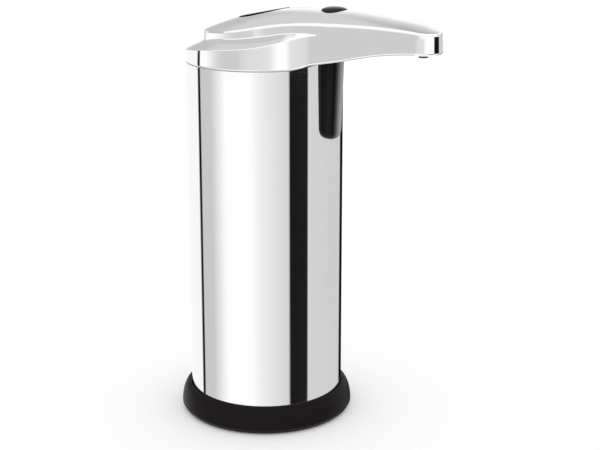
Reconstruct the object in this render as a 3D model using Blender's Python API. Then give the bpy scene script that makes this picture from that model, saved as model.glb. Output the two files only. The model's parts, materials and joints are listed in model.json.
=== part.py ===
"""Free-standing automatic soap dispenser: steel body on a black foot, beaked head, gear pump inside.

Metres, +Z up. The origin is the centre of the bounding box on the counter, +X is the way the
spout points, and the body's axis stands behind the origin. Heights are counted from the counter.
"""

from math import acos, atan2, cos, pi, radians, sin, sqrt, tan

import bmesh
import bpy
from mathutils import Vector

# Overall sizes
SPOUT_REACH = 0.0957
SEAM_HEIGHT = 0.1744
HEAD_HEIGHT = 0.0268
FOOT_RADIUS = 0.0424
FOOT_FLARE = 0.0049

# Fits and cuts
SEAT_GAP = 0.0003
RUN_GAP = 0.0001
CUT_OVERRUN = 0.002
FINE_STEPS = 10
ROUND_STEPS = 20
INNER_STEPS = 32
BODY_STEPS = 44

# Foot
FOOT_HEIGHT = 0.0126
FOOT_LIP = 0.0004
FOOT_BULGE_HEIGHT = 0.0026
FOOT_TUCK = 0.0012
FOOT_CLEAR = 0.0005
FOOT_BOW_STEPS = 4
FOOT_FLOOR = 0.0031
FOOT_LEDGE = 0.002
FOOT_COLLAR_WALL = 0.002
FOOT_COLLAR_TOP = 0.022
SLEEVE_SEAT = 0.004

# Anti-slip ring
RING_INSET = 0.0059
RING_WIDTH = 0.0044
RING_THICKNESS = 0.0017

# Battery door
DOOR_RADIUS = 0.025
DOOR_RECESS = 0.0008
DOOR_THICKNESS = 0.002
DOOR_BOSS_RADIUS = 0.0215
DOOR_TAB_REACH = 0.0023
DOOR_TAB_WIDTH = 0.009
DOOR_TAB_THICKNESS = 0.0015
DOOR_TURN = radians(45)
DOOR_SLOT_LENGTH = 0.022
DOOR_SLOT_WIDTH = 0.0026
DOOR_SLOT_DEPTH = 0.0012
DOOR_RUN_GAP = 0.0008

# Cells and contacts
CELL_RADIUS = 0.00525
CELL_LENGTH = 0.0435
CELL_NUB_RADIUS = 0.0019
CELL_NUB_HEIGHT = 0.001
CELL_SHOULDER = 0.0006
CELL_PITCH_RADIUS = 0.0095
CELL_COUNT = 4
CONTACT_THICKNESS = 0.0004
CONTACT_PAD_RADIUS = 0.0022
CONTACT_WIDTH = 0.006
SPRING_HEIGHT = 0.004
SPRING_FOOT_RADIUS = 0.0029
SPRING_TIP_RADIUS = 0.002
SPRING_WIRE = 0.0005
SPRING_TURNS = 2
SPRING_TURN_STEPS = 8

# Battery holder
HOLDER_BORE_GAP = 0.00035
HOLDER_WALL = 0.0017
HOLDER_CUP_WALL = 0.002
HOLDER_FLANGE = 0.002
HOLDER_CUP_CLOSE = 0.003
HOLDER_ROOF = 0.002

# Inner frame and motor
FRAME_WALL = 0.002
FRAME_SLEEVE_GAP = 0.0017
FRAME_SHELF = 0.002
MOTOR_RADIUS = 0.0122
MOTOR_LENGTH = 0.015
MOTOR_EDGE = 0.0012
MOTOR_BOSS_RADIUS = 0.004
MOTOR_BOSS_DEPTH = 0.0015
MOTOR_SHAFT_DEPTH = 0.006
SHAFT_RADIUS = 0.001

# Gear pump
GEAR_TEETH = 12
GEAR_MODULE = 0.001
GEAR_PRESSURE = radians(25)
GEAR_ADDENDUM_SHARE = 0.9
GEAR_DEDENDUM_SHARE = 1.2
GEAR_BACKLASH = 0.00012
GEAR_FLANK_STEPS = 2
GEAR_THICKNESS = 0.0046
PUMP_WALL = 0.0029
PUMP_ROOF = 0.0024
PUMP_COVER = 0.0024
PUMP_CHAMBER_GAP = 0.0004
PUMP_PORT_RADIUS = 0.0013
PUMP_BARB_RADIUS = 0.0022
PUMP_BARB_LENGTH = 0.0055
PUMP_INLET_RADIUS = 0.0018
PUMP_INLET_WALL = 0.0014
PUMP_INLET_OFFSET = 0.0046
PUMP_AZIMUTH = radians(45)
PIN_RADIUS = 0.0011
SCREW_RADIUS = 0.0009
SCREW_HEAD_RADIUS = 0.0018
SCREW_HEAD = 0.0012
SCREW_CROWN_SHARE = 0.8
SCREW_LENGTH = 0.006
SCREW_GAP = 0.0002
SCREW_FAN = radians(62)
SHAFT_SEAL_RADIUS = 0.0026
SHAFT_SEAL_HEIGHT = 0.0011
INLET_SEAL_WIDTH = 0.0014
INLET_SEAL_HEIGHT = 0.0009

# Soap tank
TANK_GAP = 0.0017
TANK_WALL = 0.0015
TANK_FLOOR = 0.002
TANK_LID = 0.0016
TANK_GASKET = 0.0006
CHANNEL_GAP = 0.0012

# Outlet tube and wires
TUBE_RADIUS = 0.0022
TUBE_BORE = 0.0013
TUBE_RUN_INSET = 0.0067
TUBE_SIDES = 7
WIRE_RADIUS = 0.0011
WIRE_AZIMUTH = radians(-45)
WIRE_RUN_INSET = 0.0057
WIRE_SIDES = 4
ROUTE_STEP_SHARE = 3.2
TUBE_LIFT = 0.0007
WIRE_LIFT = 0.0014
BEND_SHARE = 2.0
BEND_STEPS = 3
TUBE_REST_SHARES = ((0.285, 0.46), (0.385, 0.24), (0.50, 0.077), (0.62, 0.0), (0.74, 0.0))

# Sleeve
SLEEVE_WALL = 0.0006
SLOT_WIDTH = 0.0092
SLOT_DEPTH = 0.0292

# Head shell, as shares of the spout's reach and of the head's height
SHELL_WALL = 0.002
LEDGE_RADIUS = 0.0287
BAND_FILLET = 0.022
LEDGE_FILLET = 0.060
SPOUT_TIP_RADIUS = 0.0096
SPOUT_TAPER = radians(9)
EDGE_ROUND = 0.0007
EDGE_KNUCKLE_SHARE = 0.3
TIP_STEPS = 5
SIDE_STEPS = 4
REAR_STEPS = 17
BOTTOM_SHARES = ((-0.45, 0.0), (0.30, 0.0), (0.36, 0.045), (0.40, 0.095), (0.55, 0.195), (0.71, 0.315),
                 (0.83, 0.37), (0.93, 0.392), (1.0, 0.385))
BAND_SHARES = ((-0.392, 0.187), (-0.20, 0.252), (0.0, 0.332), (0.188, 0.444), (0.261, 0.515),
               (0.324, 0.575), (0.428, 0.608), (0.70, 0.602), (1.0, 0.54))
LEDGE_SHARES = ((-0.30, 0.332), (-0.20, 0.375), (-0.084, 0.429), (0.041, 0.495), (0.157, 0.567),
                (0.26, 0.619), (0.345, 0.640), (0.43, 0.634), (0.70, 0.622), (1.0, 0.56))
RIM_SHARES = ((-0.30, 0.534), (-0.20, 0.557), (-0.084, 0.590), (0.031, 0.653), (0.157, 0.755),
              (0.25, 0.795), (0.345, 0.808), (0.585, 0.790), (0.784, 0.757), (0.90, 0.722), (1.0, 0.683))
RIDGE_SHARES = ((-0.30, 0.536), (-0.144, 0.739), (0.031, 0.918), (0.14, 0.976), (0.24, 1.0), (0.36, 1.0),
                (0.496, 0.985), (0.731, 0.884), (0.888, 0.785), (1.0, 0.690))

# Head chassis
SPIGOT_DEPTH = 0.005
SPIGOT_WALL = 0.0036
SPIGOT_STEP = 0.0016
DECK_LIFT = 0.0006
DECK_THICKNESS = 0.002
DECK_RING_SHARES = (1.0, 0.5)
POST_RADIUS = 0.0022

# Top cover
COVER_EDGE = 0.001
COVER_WALL = 0.0018
COVER_LIP = 0.002
COVER_LIP_WALL = 0.0014
COVER_SOFT_SHARE = 0.6
COVER_RING_SHARES = (0.85, 0.62, 0.4, 0.2)
COVER_UNDER_SHARES = (0.66, 0.33)

# Fill cap and filler neck
CAP_RADIUS = 0.0122
CAP_TILT = radians(12.5)
CAP_SINK = 0.0011
CAP_THICKNESS = 0.0034
CAP_DISH_RADIUS = 0.0102
CAP_DISH_DEPTH = 0.0024
CAP_BAR_WIDTH = 0.0042
CAP_BAR_TURN = radians(38)
CAP_PLUG_RADIUS = 0.0083
CAP_PLUG_DEPTH = 0.0046
CAP_PLUG_WALL = 0.0016
NECK_RADIUS = 0.0107
NECK_BORE = 0.0089
SEAL_HEIGHT = 0.001
SEAL_OUTER = 0.0104

# Power button
BUTTON_STATION_SHARE = 0.42
BUTTON_RADIUS = 0.006
BUTTON_DOME = 0.0018
BUTTON_FLANGE = 0.001
BUTTON_FLANGE_REACH = 0.0011
BUTTON_STEM_RADIUS = 0.0015
BUTTON_TRAVEL = 0.0008
SWITCH_SIDE = 0.006
SWITCH_HEIGHT = 0.0035
SWITCH_PLUNGER_RADIUS = 0.0016
SWITCH_PLUNGER_HEIGHT = 0.0008

# Control board
BOARD_THICKNESS = 0.0016
BOARD_FRONT_SHARE = 0.60
BOARD_REAR_SHARE = 0.26
BOARD_HALF_WIDTH = 0.0105
POST_SHARES = ((0.31, 0.0), (0.55, 0.62))
WIRE_END_SHARE = -0.75

# Nozzle
NOZZLE_STATION_SHARE = 0.912
NOZZLE_RADIUS = 0.0021
NOZZLE_BODY_RADIUS = 0.003
NOZZLE_DROP = 0.0036
NOZZLE_RISE = 0.0046
NOZZLE_CAP = 0.0007
NOZZLE_INLET_RISE = 0.0026
VALVE_DEPTH = 0.0024
VALVE_LIP = 0.0004

# Sensor window, board and diodes
WINDOW_HALF_WIDTH = 0.006
WINDOW_REACH = 0.0058
WINDOW_LEAN = 0.0014
WINDOW_LENGTH = 0.0366
WINDOW_CORNER = 0.0024
WINDOW_TOE = 0.0034
WINDOW_WALL = 0.0012
WINDOW_HEM = 0.0009
WINDOW_RINGS = 7
WINDOW_CORNER_STEPS = 3
DIODE_RADIUS = 0.0015
DIODE_LENGTH = 0.0036
DIODE_FLANGE = 0.0004
DIODE_RISES = (0.0115, 0.0205)
SENSOR_BOARD_THICKNESS = 0.001
SENSOR_BOARD_WIDTH = 0.0084

# Heights and radii that follow
AXIS_X = -(SPOUT_REACH - FOOT_RADIUS) / 2
BODY_RADIUS = FOOT_RADIUS - FOOT_FLARE
RING_RADIUS = FOOT_RADIUS - RING_INSET
SLEEVE_BORE = BODY_RADIUS - SLEEVE_WALL
TUBE_RUN_RADIUS = SLEEVE_BORE - TUBE_RUN_INSET
WIRE_RUN_RADIUS = SLEEVE_BORE - WIRE_RUN_INSET
FOOT_GROOVE = BODY_RADIUS + SEAT_GAP
FOOT_COLLAR = SLEEVE_BORE - SEAT_GAP
FOOT_INNER = FOOT_COLLAR - FOOT_COLLAR_WALL
LEDGE_TOP = FOOT_FLOOR + FOOT_LEDGE
DOOR_TOP = DOOR_RECESS + DOOR_THICKNESS
TAB_BASE = LEDGE_TOP + SEAT_GAP
BOSS_TOP = TAB_BASE + DOOR_TAB_THICKNESS
DOOR_CONTACT_BASE = BOSS_TOP + SEAT_GAP
DOOR_CONTACT_TOP = DOOR_CONTACT_BASE + CONTACT_THICKNESS
CELL_BASE = DOOR_CONTACT_TOP + 2 * SEAT_GAP + SPRING_HEIGHT
CELL_TOP = CELL_BASE + CELL_LENGTH
ROOF_CONTACT_BASE = CELL_TOP + 2 * SEAT_GAP + SPRING_HEIGHT
ROOF_CONTACT_TOP = ROOF_CONTACT_BASE + CONTACT_THICKNESS
HOLDER_BASE = CELL_BASE + SEAT_GAP
HOLDER_CEILING = ROOF_CONTACT_TOP + SEAT_GAP
HOLDER_TOP = HOLDER_CEILING + HOLDER_ROOF
SHELF_BASE = HOLDER_TOP + SEAT_GAP
SHELF_TOP = SHELF_BASE + FRAME_SHELF
FRAME_RADIUS = SLEEVE_BORE - FRAME_SLEEVE_GAP
FRAME_BASE = FOOT_COLLAR_TOP + SEAT_GAP
MOTOR_BASE = SHELF_TOP + SEAT_GAP
MOTOR_TOP = MOTOR_BASE + MOTOR_LENGTH
PUMP_BASE = MOTOR_TOP + SEAT_GAP
CHAMBER_BASE = PUMP_BASE + PUMP_COVER + SEAT_GAP
CHAMBER_TOP = CHAMBER_BASE + GEAR_THICKNESS + 2 * SEAT_GAP
PUMP_TOP = CHAMBER_TOP + PUMP_ROOF
TANK_BASE = PUMP_TOP + SEAT_GAP
TANK_RADIUS = SLEEVE_BORE - TANK_GAP
SPIGOT_BASE = SEAM_HEIGHT - SPIGOT_DEPTH
LID_TOP = SPIGOT_BASE - SEAT_GAP
LID_BASE = LID_TOP - TANK_LID
GASKET_BASE = LID_BASE - SEAT_GAP - TANK_GASKET
TANK_TOP = GASKET_BASE - SEAT_GAP
PITCH_RADIUS = GEAR_MODULE * GEAR_TEETH / 2
GEAR_TIP = PITCH_RADIUS + GEAR_ADDENDUM_SHARE * GEAR_MODULE
CHAMBER_RADIUS = GEAR_TIP + PUMP_CHAMBER_GAP
PUMP_RADIUS = CHAMBER_RADIUS + PUMP_WALL
TIP_CENTRE = SPOUT_REACH - SPOUT_TIP_RADIUS
DECK_INSET = SHELL_WALL + SEAT_GAP
NOZZLE_STATION = NOZZLE_STATION_SHARE * SPOUT_REACH
BUTTON_STATION = BUTTON_STATION_SHARE * SPOUT_REACH

BAND = (BODY_RADIUS, BAND_FILLET)
LEDGE = (LEDGE_RADIUS, LEDGE_FILLET)


# Scene and materials

def clear_scene():
    """Remove every object of the scene that the script starts in."""
    for thing in list(bpy.data.objects):
        bpy.data.objects.remove(thing, do_unlink=True)


def make_material(name, colour, roughness, metallic):
    """Return a Principled material of one colour."""
    made = bpy.data.materials.new(name)
    made.use_nodes = True
    shader = made.node_tree.nodes["Principled BSDF"]
    shader.inputs["Base Color"].default_value = (*colour, 1.0)
    shader.inputs["Roughness"].default_value = roughness
    shader.inputs["Metallic"].default_value = metallic
    made.diffuse_color = (*colour, 1.0)
    return made


FINISHES = {
    "chrome": ((0.92, 0.92, 0.93), 0.06, 1.0),
    "steel": ((0.89, 0.89, 0.90), 0.10, 1.0),
    "bright_metal": ((0.70, 0.69, 0.66), 0.30, 1.0),
    "black_gloss": ((0.015, 0.013, 0.014), 0.18, 0.0),
    "black_window": ((0.010, 0.009, 0.010), 0.06, 0.0),
    "black_rubber": ((0.020, 0.020, 0.020), 0.80, 0.0),
    "grey_plastic": ((0.36, 0.37, 0.38), 0.50, 0.0),
    "white_plastic": ((0.78, 0.78, 0.76), 0.45, 0.0),
    "clear_plastic": ((0.80, 0.84, 0.86), 0.20, 0.0),
    "gear_plastic": ((0.86, 0.84, 0.78), 0.40, 0.0),
    "seal_rubber": ((0.55, 0.20, 0.12), 0.60, 0.0),
    "tube_silicone": ((0.82, 0.84, 0.84), 0.35, 0.0),
    "cell_jacket": ((0.08, 0.16, 0.10), 0.35, 0.0),
    "board_green": ((0.02, 0.20, 0.08), 0.45, 0.0),
    "wire_red": ((0.55, 0.03, 0.02), 0.45, 0.0),
}


# Solids

def place(name, mesh, finish, parent, location=(0.0, 0.0, 0.0), rotation=(0.0, 0.0, 0.0)):
    """Return a new object of this mesh, on its parent, smooth but for its sharp edges."""
    made = bpy.data.objects.new(name, mesh)
    bpy.context.scene.collection.objects.link(made)
    made.parent = parent
    made.location = location
    made.rotation_euler = rotation
    mesh.shade_smooth()
    mesh.set_sharp_from_angle(angle=radians(32))
    if finish is not None:
        mesh.materials.append(materials[finish])
    return made


def finish_mesh(name, work):
    """Return the bmesh as a mesh, with its doubles merged and its faces pointing out."""
    bmesh.ops.remove_doubles(work, verts=work.verts, dist=SEAT_GAP / 1000)
    bmesh.ops.dissolve_degenerate(work, edges=work.edges, dist=SEAT_GAP / 1000)
    bmesh.ops.recalc_face_normals(work, faces=work.faces)
    mesh = bpy.data.meshes.new(name)
    work.to_mesh(mesh)
    work.free()
    return mesh


def ring_mesh(name, rings, around=False):
    """Return the skin over a row of equal rings: round to the first again, or closed by two ends."""
    work = bmesh.new()
    rows = [[work.verts.new(point) for point in ring] for ring in rings]
    pairs = list(zip(rows, rows[1:]))
    if around:
        pairs.append((rows[-1], rows[0]))
    for low, high in pairs:
        for i, point in enumerate(low):
            j = (i + 1) % len(low)
            work.faces.new((point, low[j], high[j], high[i]))
    if not around:
        work.faces.new(rows[0])
        work.faces.new(rows[-1])
    return finish_mesh(name, work)


def circle(radius, height, centre=(0.0, 0.0), steps=ROUND_STEPS):
    """Return a ring of points at this height."""
    turns = [2 * pi * i / steps for i in range(steps)]
    return [Vector((centre[0] + radius * cos(a), centre[1] + radius * sin(a), height)) for a in turns]


def turned_mesh(name, profile, steps=ROUND_STEPS):
    """Return the solid that a closed profile of (radius, height) points sweeps about the Z axis."""
    around = min(radius for radius, height in profile) > 0
    work = bmesh.new()
    rows = [[work.verts.new(point) for point in circle(radius, height, steps=steps)]
            for radius, height in profile]
    pairs = list(zip(rows, rows[1:]))
    if around:
        pairs.append((rows[-1], rows[0]))
    for low, high in pairs:
        for i, point in enumerate(low):
            j = (i + 1) % steps
            work.faces.new((point, low[j], high[j], high[i]))
    return finish_mesh(name, work)


def prism_mesh(name, outline, low, high):
    """Return an outline of (x, y) points extruded between two heights."""
    rings = [[Vector((x, y, height)) for x, y in outline] for height in (low, high)]
    return ring_mesh(name, rings)


def cylinder_mesh(name, radius, low, high, centre=(0.0, 0.0), steps=ROUND_STEPS):
    """Return an upright cylinder between two heights."""
    return ring_mesh(name, [circle(radius, low, centre, steps), circle(radius, high, centre, steps)])


def tube_mesh(name, outer, inner, low, high, centre=(0.0, 0.0), steps=ROUND_STEPS):
    """Return an upright tube between two heights."""
    rings = [circle(outer, low, centre, steps), circle(outer, high, centre, steps),
             circle(inner, high, centre, steps), circle(inner, low, centre, steps)]
    return ring_mesh(name, rings, around=True)


def box_mesh(name, low, high):
    """Return a box between two corners."""
    outline = [(low[0], low[1]), (high[0], low[1]), (high[0], high[1]), (low[0], high[1])]
    return prism_mesh(name, outline, low[2], high[2])


def rounded_box_outline(half_length, half_width, corner, steps=3):
    """Return the outline of a rectangle with round corners, about the origin."""
    outline = []
    for quarter, (side_x, side_y) in enumerate(((1, 1), (-1, 1), (-1, -1), (1, -1))):
        for i in range(steps + 1):
            turn = (quarter + i / steps) * pi / 2
            outline.append((side_x * (half_length - corner) + corner * cos(turn),
                            side_y * (half_width - corner) + corner * sin(turn)))
    return outline


def combine(target, tool, operation="DIFFERENCE", solver="EXACT"):
    """Cut the tool from the target, or fuse it on, and keep the tool out of the render."""
    modifier = target.modifiers.new(tool.name, "BOOLEAN")
    modifier.operation = operation
    modifier.object = tool
    modifier.solver = solver
    tool.hide_render = True
    tool.display_type = "WIRE"
    return tool


def cut(target, mesh, parent, location=(0.0, 0.0, 0.0), rotation=(0.0, 0.0, 0.0)):
    """Cut a helper solid from the target."""
    return combine(target, place(mesh.name, mesh, None, parent, location, rotation))


def fuse(target, mesh, parent, location=(0.0, 0.0, 0.0), rotation=(0.0, 0.0, 0.0)):
    """Fuse a helper solid to the target."""
    return combine(target, place(mesh.name, mesh, None, parent, location, rotation), "UNION")


def polar(radius, azimuth, centre=(0.0, 0.0)):
    """Return the plan point at this radius and azimuth about a centre."""
    return centre[0] + radius * cos(azimuth), centre[1] + radius * sin(azimuth)


def swept_mesh(name, path, outer, sides, bore=None):
    """Return a round rod along a path, or a tube if it has a bore, square at both ends."""
    rings_out = []
    rings_in = []
    side = None
    for i, point in enumerate(path):
        ahead = (path[min(i + 1, len(path) - 1)] - path[max(i - 1, 0)]).normalized()
        if side is None:
            side = ahead.orthogonal().normalized()
        side = (side - side.dot(ahead) * ahead).normalized()
        across = ahead.cross(side)
        spokes = [side * cos(2 * pi * j / sides) + across * sin(2 * pi * j / sides) for j in range(sides)]
        rings_out.append([point + outer * spoke for spoke in spokes])
        if bore is not None:
            rings_in.append([point + bore * spoke for spoke in spokes])
    if bore is None:
        return ring_mesh(name, rings_out)
    return ring_mesh(name, rings_out + rings_in[::-1], around=True)


def smooth_path(knots, step):
    """Return points at an even step along a smooth curve through the knots."""
    dense = []
    last = len(knots) - 1
    for i in range(last):
        before = knots[max(i - 1, 0)]
        start = knots[i]
        end = knots[i + 1]
        after = knots[min(i + 2, last)]
        reach = (end - start).length
        lead = (end - before).normalized() * reach
        leave = (after - start).normalized() * reach
        for j in range(FINE_STEPS):
            t = j / FINE_STEPS
            dense.append(start * (2 * t**3 - 3 * t**2 + 1) + lead * (t**3 - 2 * t**2 + t)
                         + end * (3 * t**2 - 2 * t**3) + leave * (t**3 - t**2))
    dense.append(knots[-1])
    lengths = [0.0]
    for a, b in zip(dense, dense[1:]):
        lengths.append(lengths[-1] + (b - a).length)
    count = max(2, round(lengths[-1] / step))
    points = []
    for k in range(count + 1):
        want = lengths[-1] * k / count
        i = min(max(j for j in range(len(lengths)) if lengths[j] <= want), len(dense) - 2)
        share = (want - lengths[i]) / (lengths[i + 1] - lengths[i])
        points.append(dense[i].lerp(dense[i + 1], min(share, 1.0)))
    return points


# Plan of the head

def side_distance(inset=0.0):
    """Return how far the spout's tapering side runs from the body's axis."""
    return SPOUT_TIP_RADIUS + TIP_CENTRE * sin(SPOUT_TAPER) - inset


def fillet_centre(rear):
    """Return the centre of the hollow fillet between the rear circle and the spout's side."""
    radius, fillet = rear
    out = side_distance() + fillet
    along = sqrt((radius + fillet) ** 2 - out**2)
    return Vector((out * sin(SPOUT_TAPER) + along * cos(SPOUT_TAPER),
                   out * cos(SPOUT_TAPER) - along * sin(SPOUT_TAPER)))


def fillet_end(rear, inset=0.0):
    """Return where the hollow fillet runs out into the spout's side."""
    normal = Vector((sin(SPOUT_TAPER), cos(SPOUT_TAPER)))
    return fillet_centre(rear) - (rear[1] + inset) * normal


def rear_radius(rear, azimuth, inset=0.0):
    """Return the plan radius of the head at an azimuth, behind the spout's straight side."""
    centre = fillet_centre(rear)
    end = fillet_end(rear, inset)
    if azimuth >= atan2(centre.y, centre.x):
        return rear[0] - inset
    way = Vector((cos(azimuth), sin(azimuth)))
    if azimuth >= atan2(end.y, end.x):
        along = way.dot(centre)
        return along - sqrt(along**2 - centre.length_squared + (rear[1] + inset) ** 2)
    return side_distance(inset) / (way.x * sin(SPOUT_TAPER) + way.y * cos(SPOUT_TAPER))


def plan_outline(rear, inset=0.0):
    """Return the beak-shaped outline, from the spout's tip round the rear, and the spine point of each."""
    tip = SPOUT_TIP_RADIUS - inset
    join = fillet_end(BAND, inset)
    half = []
    for i in range(TIP_STEPS):
        turn = (pi / 2 - SPOUT_TAPER) * i / TIP_STEPS
        half.append(((TIP_CENTRE + tip * cos(turn), tip * sin(turn)), TIP_CENTRE))
    start = Vector((TIP_CENTRE + tip * sin(SPOUT_TAPER), tip * cos(SPOUT_TAPER)))
    for i in range(SIDE_STEPS):
        point = start.lerp(join, i / SIDE_STEPS)
        half.append(((point.x, point.y), point.x - point.y * tan(SPOUT_TAPER)))
    join_turn = atan2(join.y, join.x)
    join_spine = join.x - join.y * tan(SPOUT_TAPER)
    for i in range(REAR_STEPS + 1):
        turn = join_turn + (pi - join_turn) * i / REAR_STEPS
        radius = rear_radius(rear, turn, inset)
        spine = join_spine * max(0.0, cos(turn) / cos(join_turn))
        half.append(((radius * cos(turn), radius * sin(turn)), spine))
    mirrored = [((x, -y), spine) for (x, y), spine in half[-2:0:-1]]
    return half + mirrored


def half_width(x):
    """Return the top cover's half width at a station along the spout."""
    centre = fillet_centre(LEDGE)
    end = fillet_end(LEDGE)
    if x >= TIP_CENTRE + SPOUT_TIP_RADIUS * sin(SPOUT_TAPER):
        return sqrt(max(SPOUT_TIP_RADIUS**2 - (x - TIP_CENTRE) ** 2, 0.0))
    if x >= end.x:
        return (side_distance() - x * sin(SPOUT_TAPER)) / cos(SPOUT_TAPER)
    if x >= centre.x * LEDGE_RADIUS / (LEDGE_RADIUS + LEDGE_FILLET):
        return centre.y - sqrt(LEDGE_FILLET**2 - (x - centre.x) ** 2)
    return sqrt(max(LEDGE_RADIUS**2 - x**2, 0.0))


# Heights of the head

def share_at(shares, place_share):
    """Return the value of a smooth curve through a table of shares."""
    first, last = shares[0], shares[-1]
    if place_share <= first[0]:
        return first[1]
    if place_share >= last[0]:
        return last[1]
    i = max(j for j in range(len(shares) - 1) if shares[j][0] <= place_share)

    def slope(k):
        low = max(k - 1, 0)
        high = min(k + 1, len(shares) - 1)
        return (shares[high][1] - shares[low][1]) / (shares[high][0] - shares[low][0])

    width = shares[i + 1][0] - shares[i][0]
    t = (place_share - shares[i][0]) / width
    return (shares[i][1] * (2 * t**3 - 3 * t**2 + 1) + slope(i) * width * (t**3 - 2 * t**2 + t)
            + shares[i + 1][1] * (3 * t**2 - 2 * t**3) + slope(i + 1) * width * (t**3 - t**2))


def head_height(shares, x):
    """Return a height of the head at a station along the spout."""
    return SEAM_HEIGHT + HEAD_HEIGHT * share_at(shares, x / SPOUT_REACH)


def crown_height(x, y):
    """Return the height of the crowned top cover at a plan point."""
    rim = head_height(RIM_SHARES, x)
    ridge = head_height(RIDGE_SHARES, x)
    width = half_width(x)
    if width <= abs(y):
        return rim
    return rim + (ridge - rim) * (1 - (y / width) ** 2)


def deck_height(x):
    """Return the height of the chassis deck's top at a station along the spout."""
    return head_height(BOTTOM_SHARES, x) + DECK_LIFT + DECK_THICKNESS


def outline_ring(outline, height_at):
    """Return the outline's points, each at the height that the function gives for its station."""
    return [Vector((x, y, height_at(x))) for (x, y), spine in outline]


def inner_ring(outline, share, height_at):
    """Return a ring part of the way from the spine to the outline, at the height of a plan point."""
    ring = []
    for (x, y), spine in outline:
        inner_x = spine + (x - spine) * share
        inner_y = y * share
        ring.append(Vector((inner_x, inner_y, height_at(inner_x, inner_y))))
    return ring


def shell_height(shares, drop=0.0):
    """Return a function that gives a head height, less a drop, at a station."""
    return lambda x: head_height(shares, x) - drop


def crowned_skin(name, rings):
    """Return a solid whose first and last rings close onto the spine."""
    work = bmesh.new()
    rows = [[work.verts.new(point) for point in ring] for ring in rings]
    for low, high in zip(rows, rows[1:]):
        for i, point in enumerate(low):
            j = (i + 1) % len(low)
            work.faces.new((point, low[j], high[j], high[i]))
    return finish_mesh(name, work)


# Foot, ring and door

def make_foot(axis):
    """The flared foot: bowed outside, grooved for the sleeve, with a collar and the door's ledge inside."""
    lip = FOOT_GROOVE + FOOT_LIP
    bow = []
    for i in range(FOOT_BOW_STEPS + 1):
        turn = pi / 2 * i / FOOT_BOW_STEPS
        bow.append((lip + (FOOT_RADIUS - lip) * sin(turn),
                    FOOT_BULGE_HEIGHT + (FOOT_HEIGHT - FOOT_BULGE_HEIGHT) * cos(turn)))
    ring_out = RING_RADIUS + RING_WIDTH / 2 + SEAT_GAP
    ring_in = RING_RADIUS - RING_WIDTH / 2 - SEAT_GAP
    ring_top = RING_THICKNESS + SEAT_GAP
    profile = bow + [
        (FOOT_RADIUS - FOOT_TUCK, FOOT_CLEAR), (ring_out, FOOT_CLEAR), (ring_out, ring_top),
        (ring_in, ring_top), (ring_in, FOOT_CLEAR),
        (DOOR_RADIUS + SEAT_GAP, FOOT_CLEAR), (DOOR_RADIUS + SEAT_GAP, FOOT_FLOOR),
        (DOOR_BOSS_RADIUS + DOOR_RUN_GAP, FOOT_FLOOR), (DOOR_BOSS_RADIUS + DOOR_RUN_GAP, LEDGE_TOP),
        (FOOT_INNER, LEDGE_TOP), (FOOT_INNER, FOOT_COLLAR_TOP), (FOOT_COLLAR, FOOT_COLLAR_TOP),
        (FOOT_COLLAR, SLEEVE_SEAT), (FOOT_GROOVE, SLEEVE_SEAT), (FOOT_GROOVE, FOOT_HEIGHT),
    ]
    foot = place("base_foot", turned_mesh("base_foot", profile, BODY_STEPS), "black_gloss", axis)
    reach = DOOR_BOSS_RADIUS + DOOR_TAB_REACH + DOOR_RUN_GAP
    half = DOOR_TAB_WIDTH / 2 + DOOR_RUN_GAP
    notch = box_mesh("bayonet_notches", (-reach, -half, FOOT_FLOOR - CUT_OVERRUN / 2),
                     (reach, half, LEDGE_TOP + CUT_OVERRUN))
    cut(foot, notch, axis, rotation=(0.0, 0.0, DOOR_TURN))


def make_anti_slip_ring(axis):
    """The rubber ring that the dispenser stands on."""
    mesh = tube_mesh("anti_slip_ring", RING_RADIUS + RING_WIDTH / 2, RING_RADIUS - RING_WIDTH / 2,
                     0.0, RING_THICKNESS, steps=BODY_STEPS)
    place("anti_slip_ring", mesh, "black_rubber", axis)


def make_battery_door(axis):
    """The quarter-turn door: a disc with a coin slot, a boss and two bayonet tabs over the foot's ledge."""
    profile = [(0.0, DOOR_RECESS), (DOOR_RADIUS, DOOR_RECESS), (DOOR_RADIUS, DOOR_TOP),
               (DOOR_BOSS_RADIUS, DOOR_TOP), (DOOR_BOSS_RADIUS, BOSS_TOP), (0.0, BOSS_TOP)]
    door = place("battery_door", turned_mesh("battery_door", profile, BODY_STEPS), "black_gloss", axis)
    reach = DOOR_BOSS_RADIUS + DOOR_TAB_REACH
    tabs = box_mesh("bayonet_tabs", (-reach, -DOOR_TAB_WIDTH / 2, TAB_BASE),
                    (reach, DOOR_TAB_WIDTH / 2, BOSS_TOP))
    fuse(door, tabs, axis)
    slot = box_mesh("coin_slot",
                    (-DOOR_SLOT_LENGTH / 2, -DOOR_SLOT_WIDTH / 2, DOOR_RECESS - CUT_OVERRUN / 2),
                    (DOOR_SLOT_LENGTH / 2, DOOR_SLOT_WIDTH / 2, DOOR_RECESS + DOOR_SLOT_DEPTH))
    cut(door, slot, axis)


# Cells and contacts

def cell_azimuth(number):
    """Return where a cell stands about the body's axis."""
    return pi / CELL_COUNT + 2 * pi * number / CELL_COUNT


def cell_points_up(number):
    """Cells alternate, so that they join in series."""
    return number % 2 == 0


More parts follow.
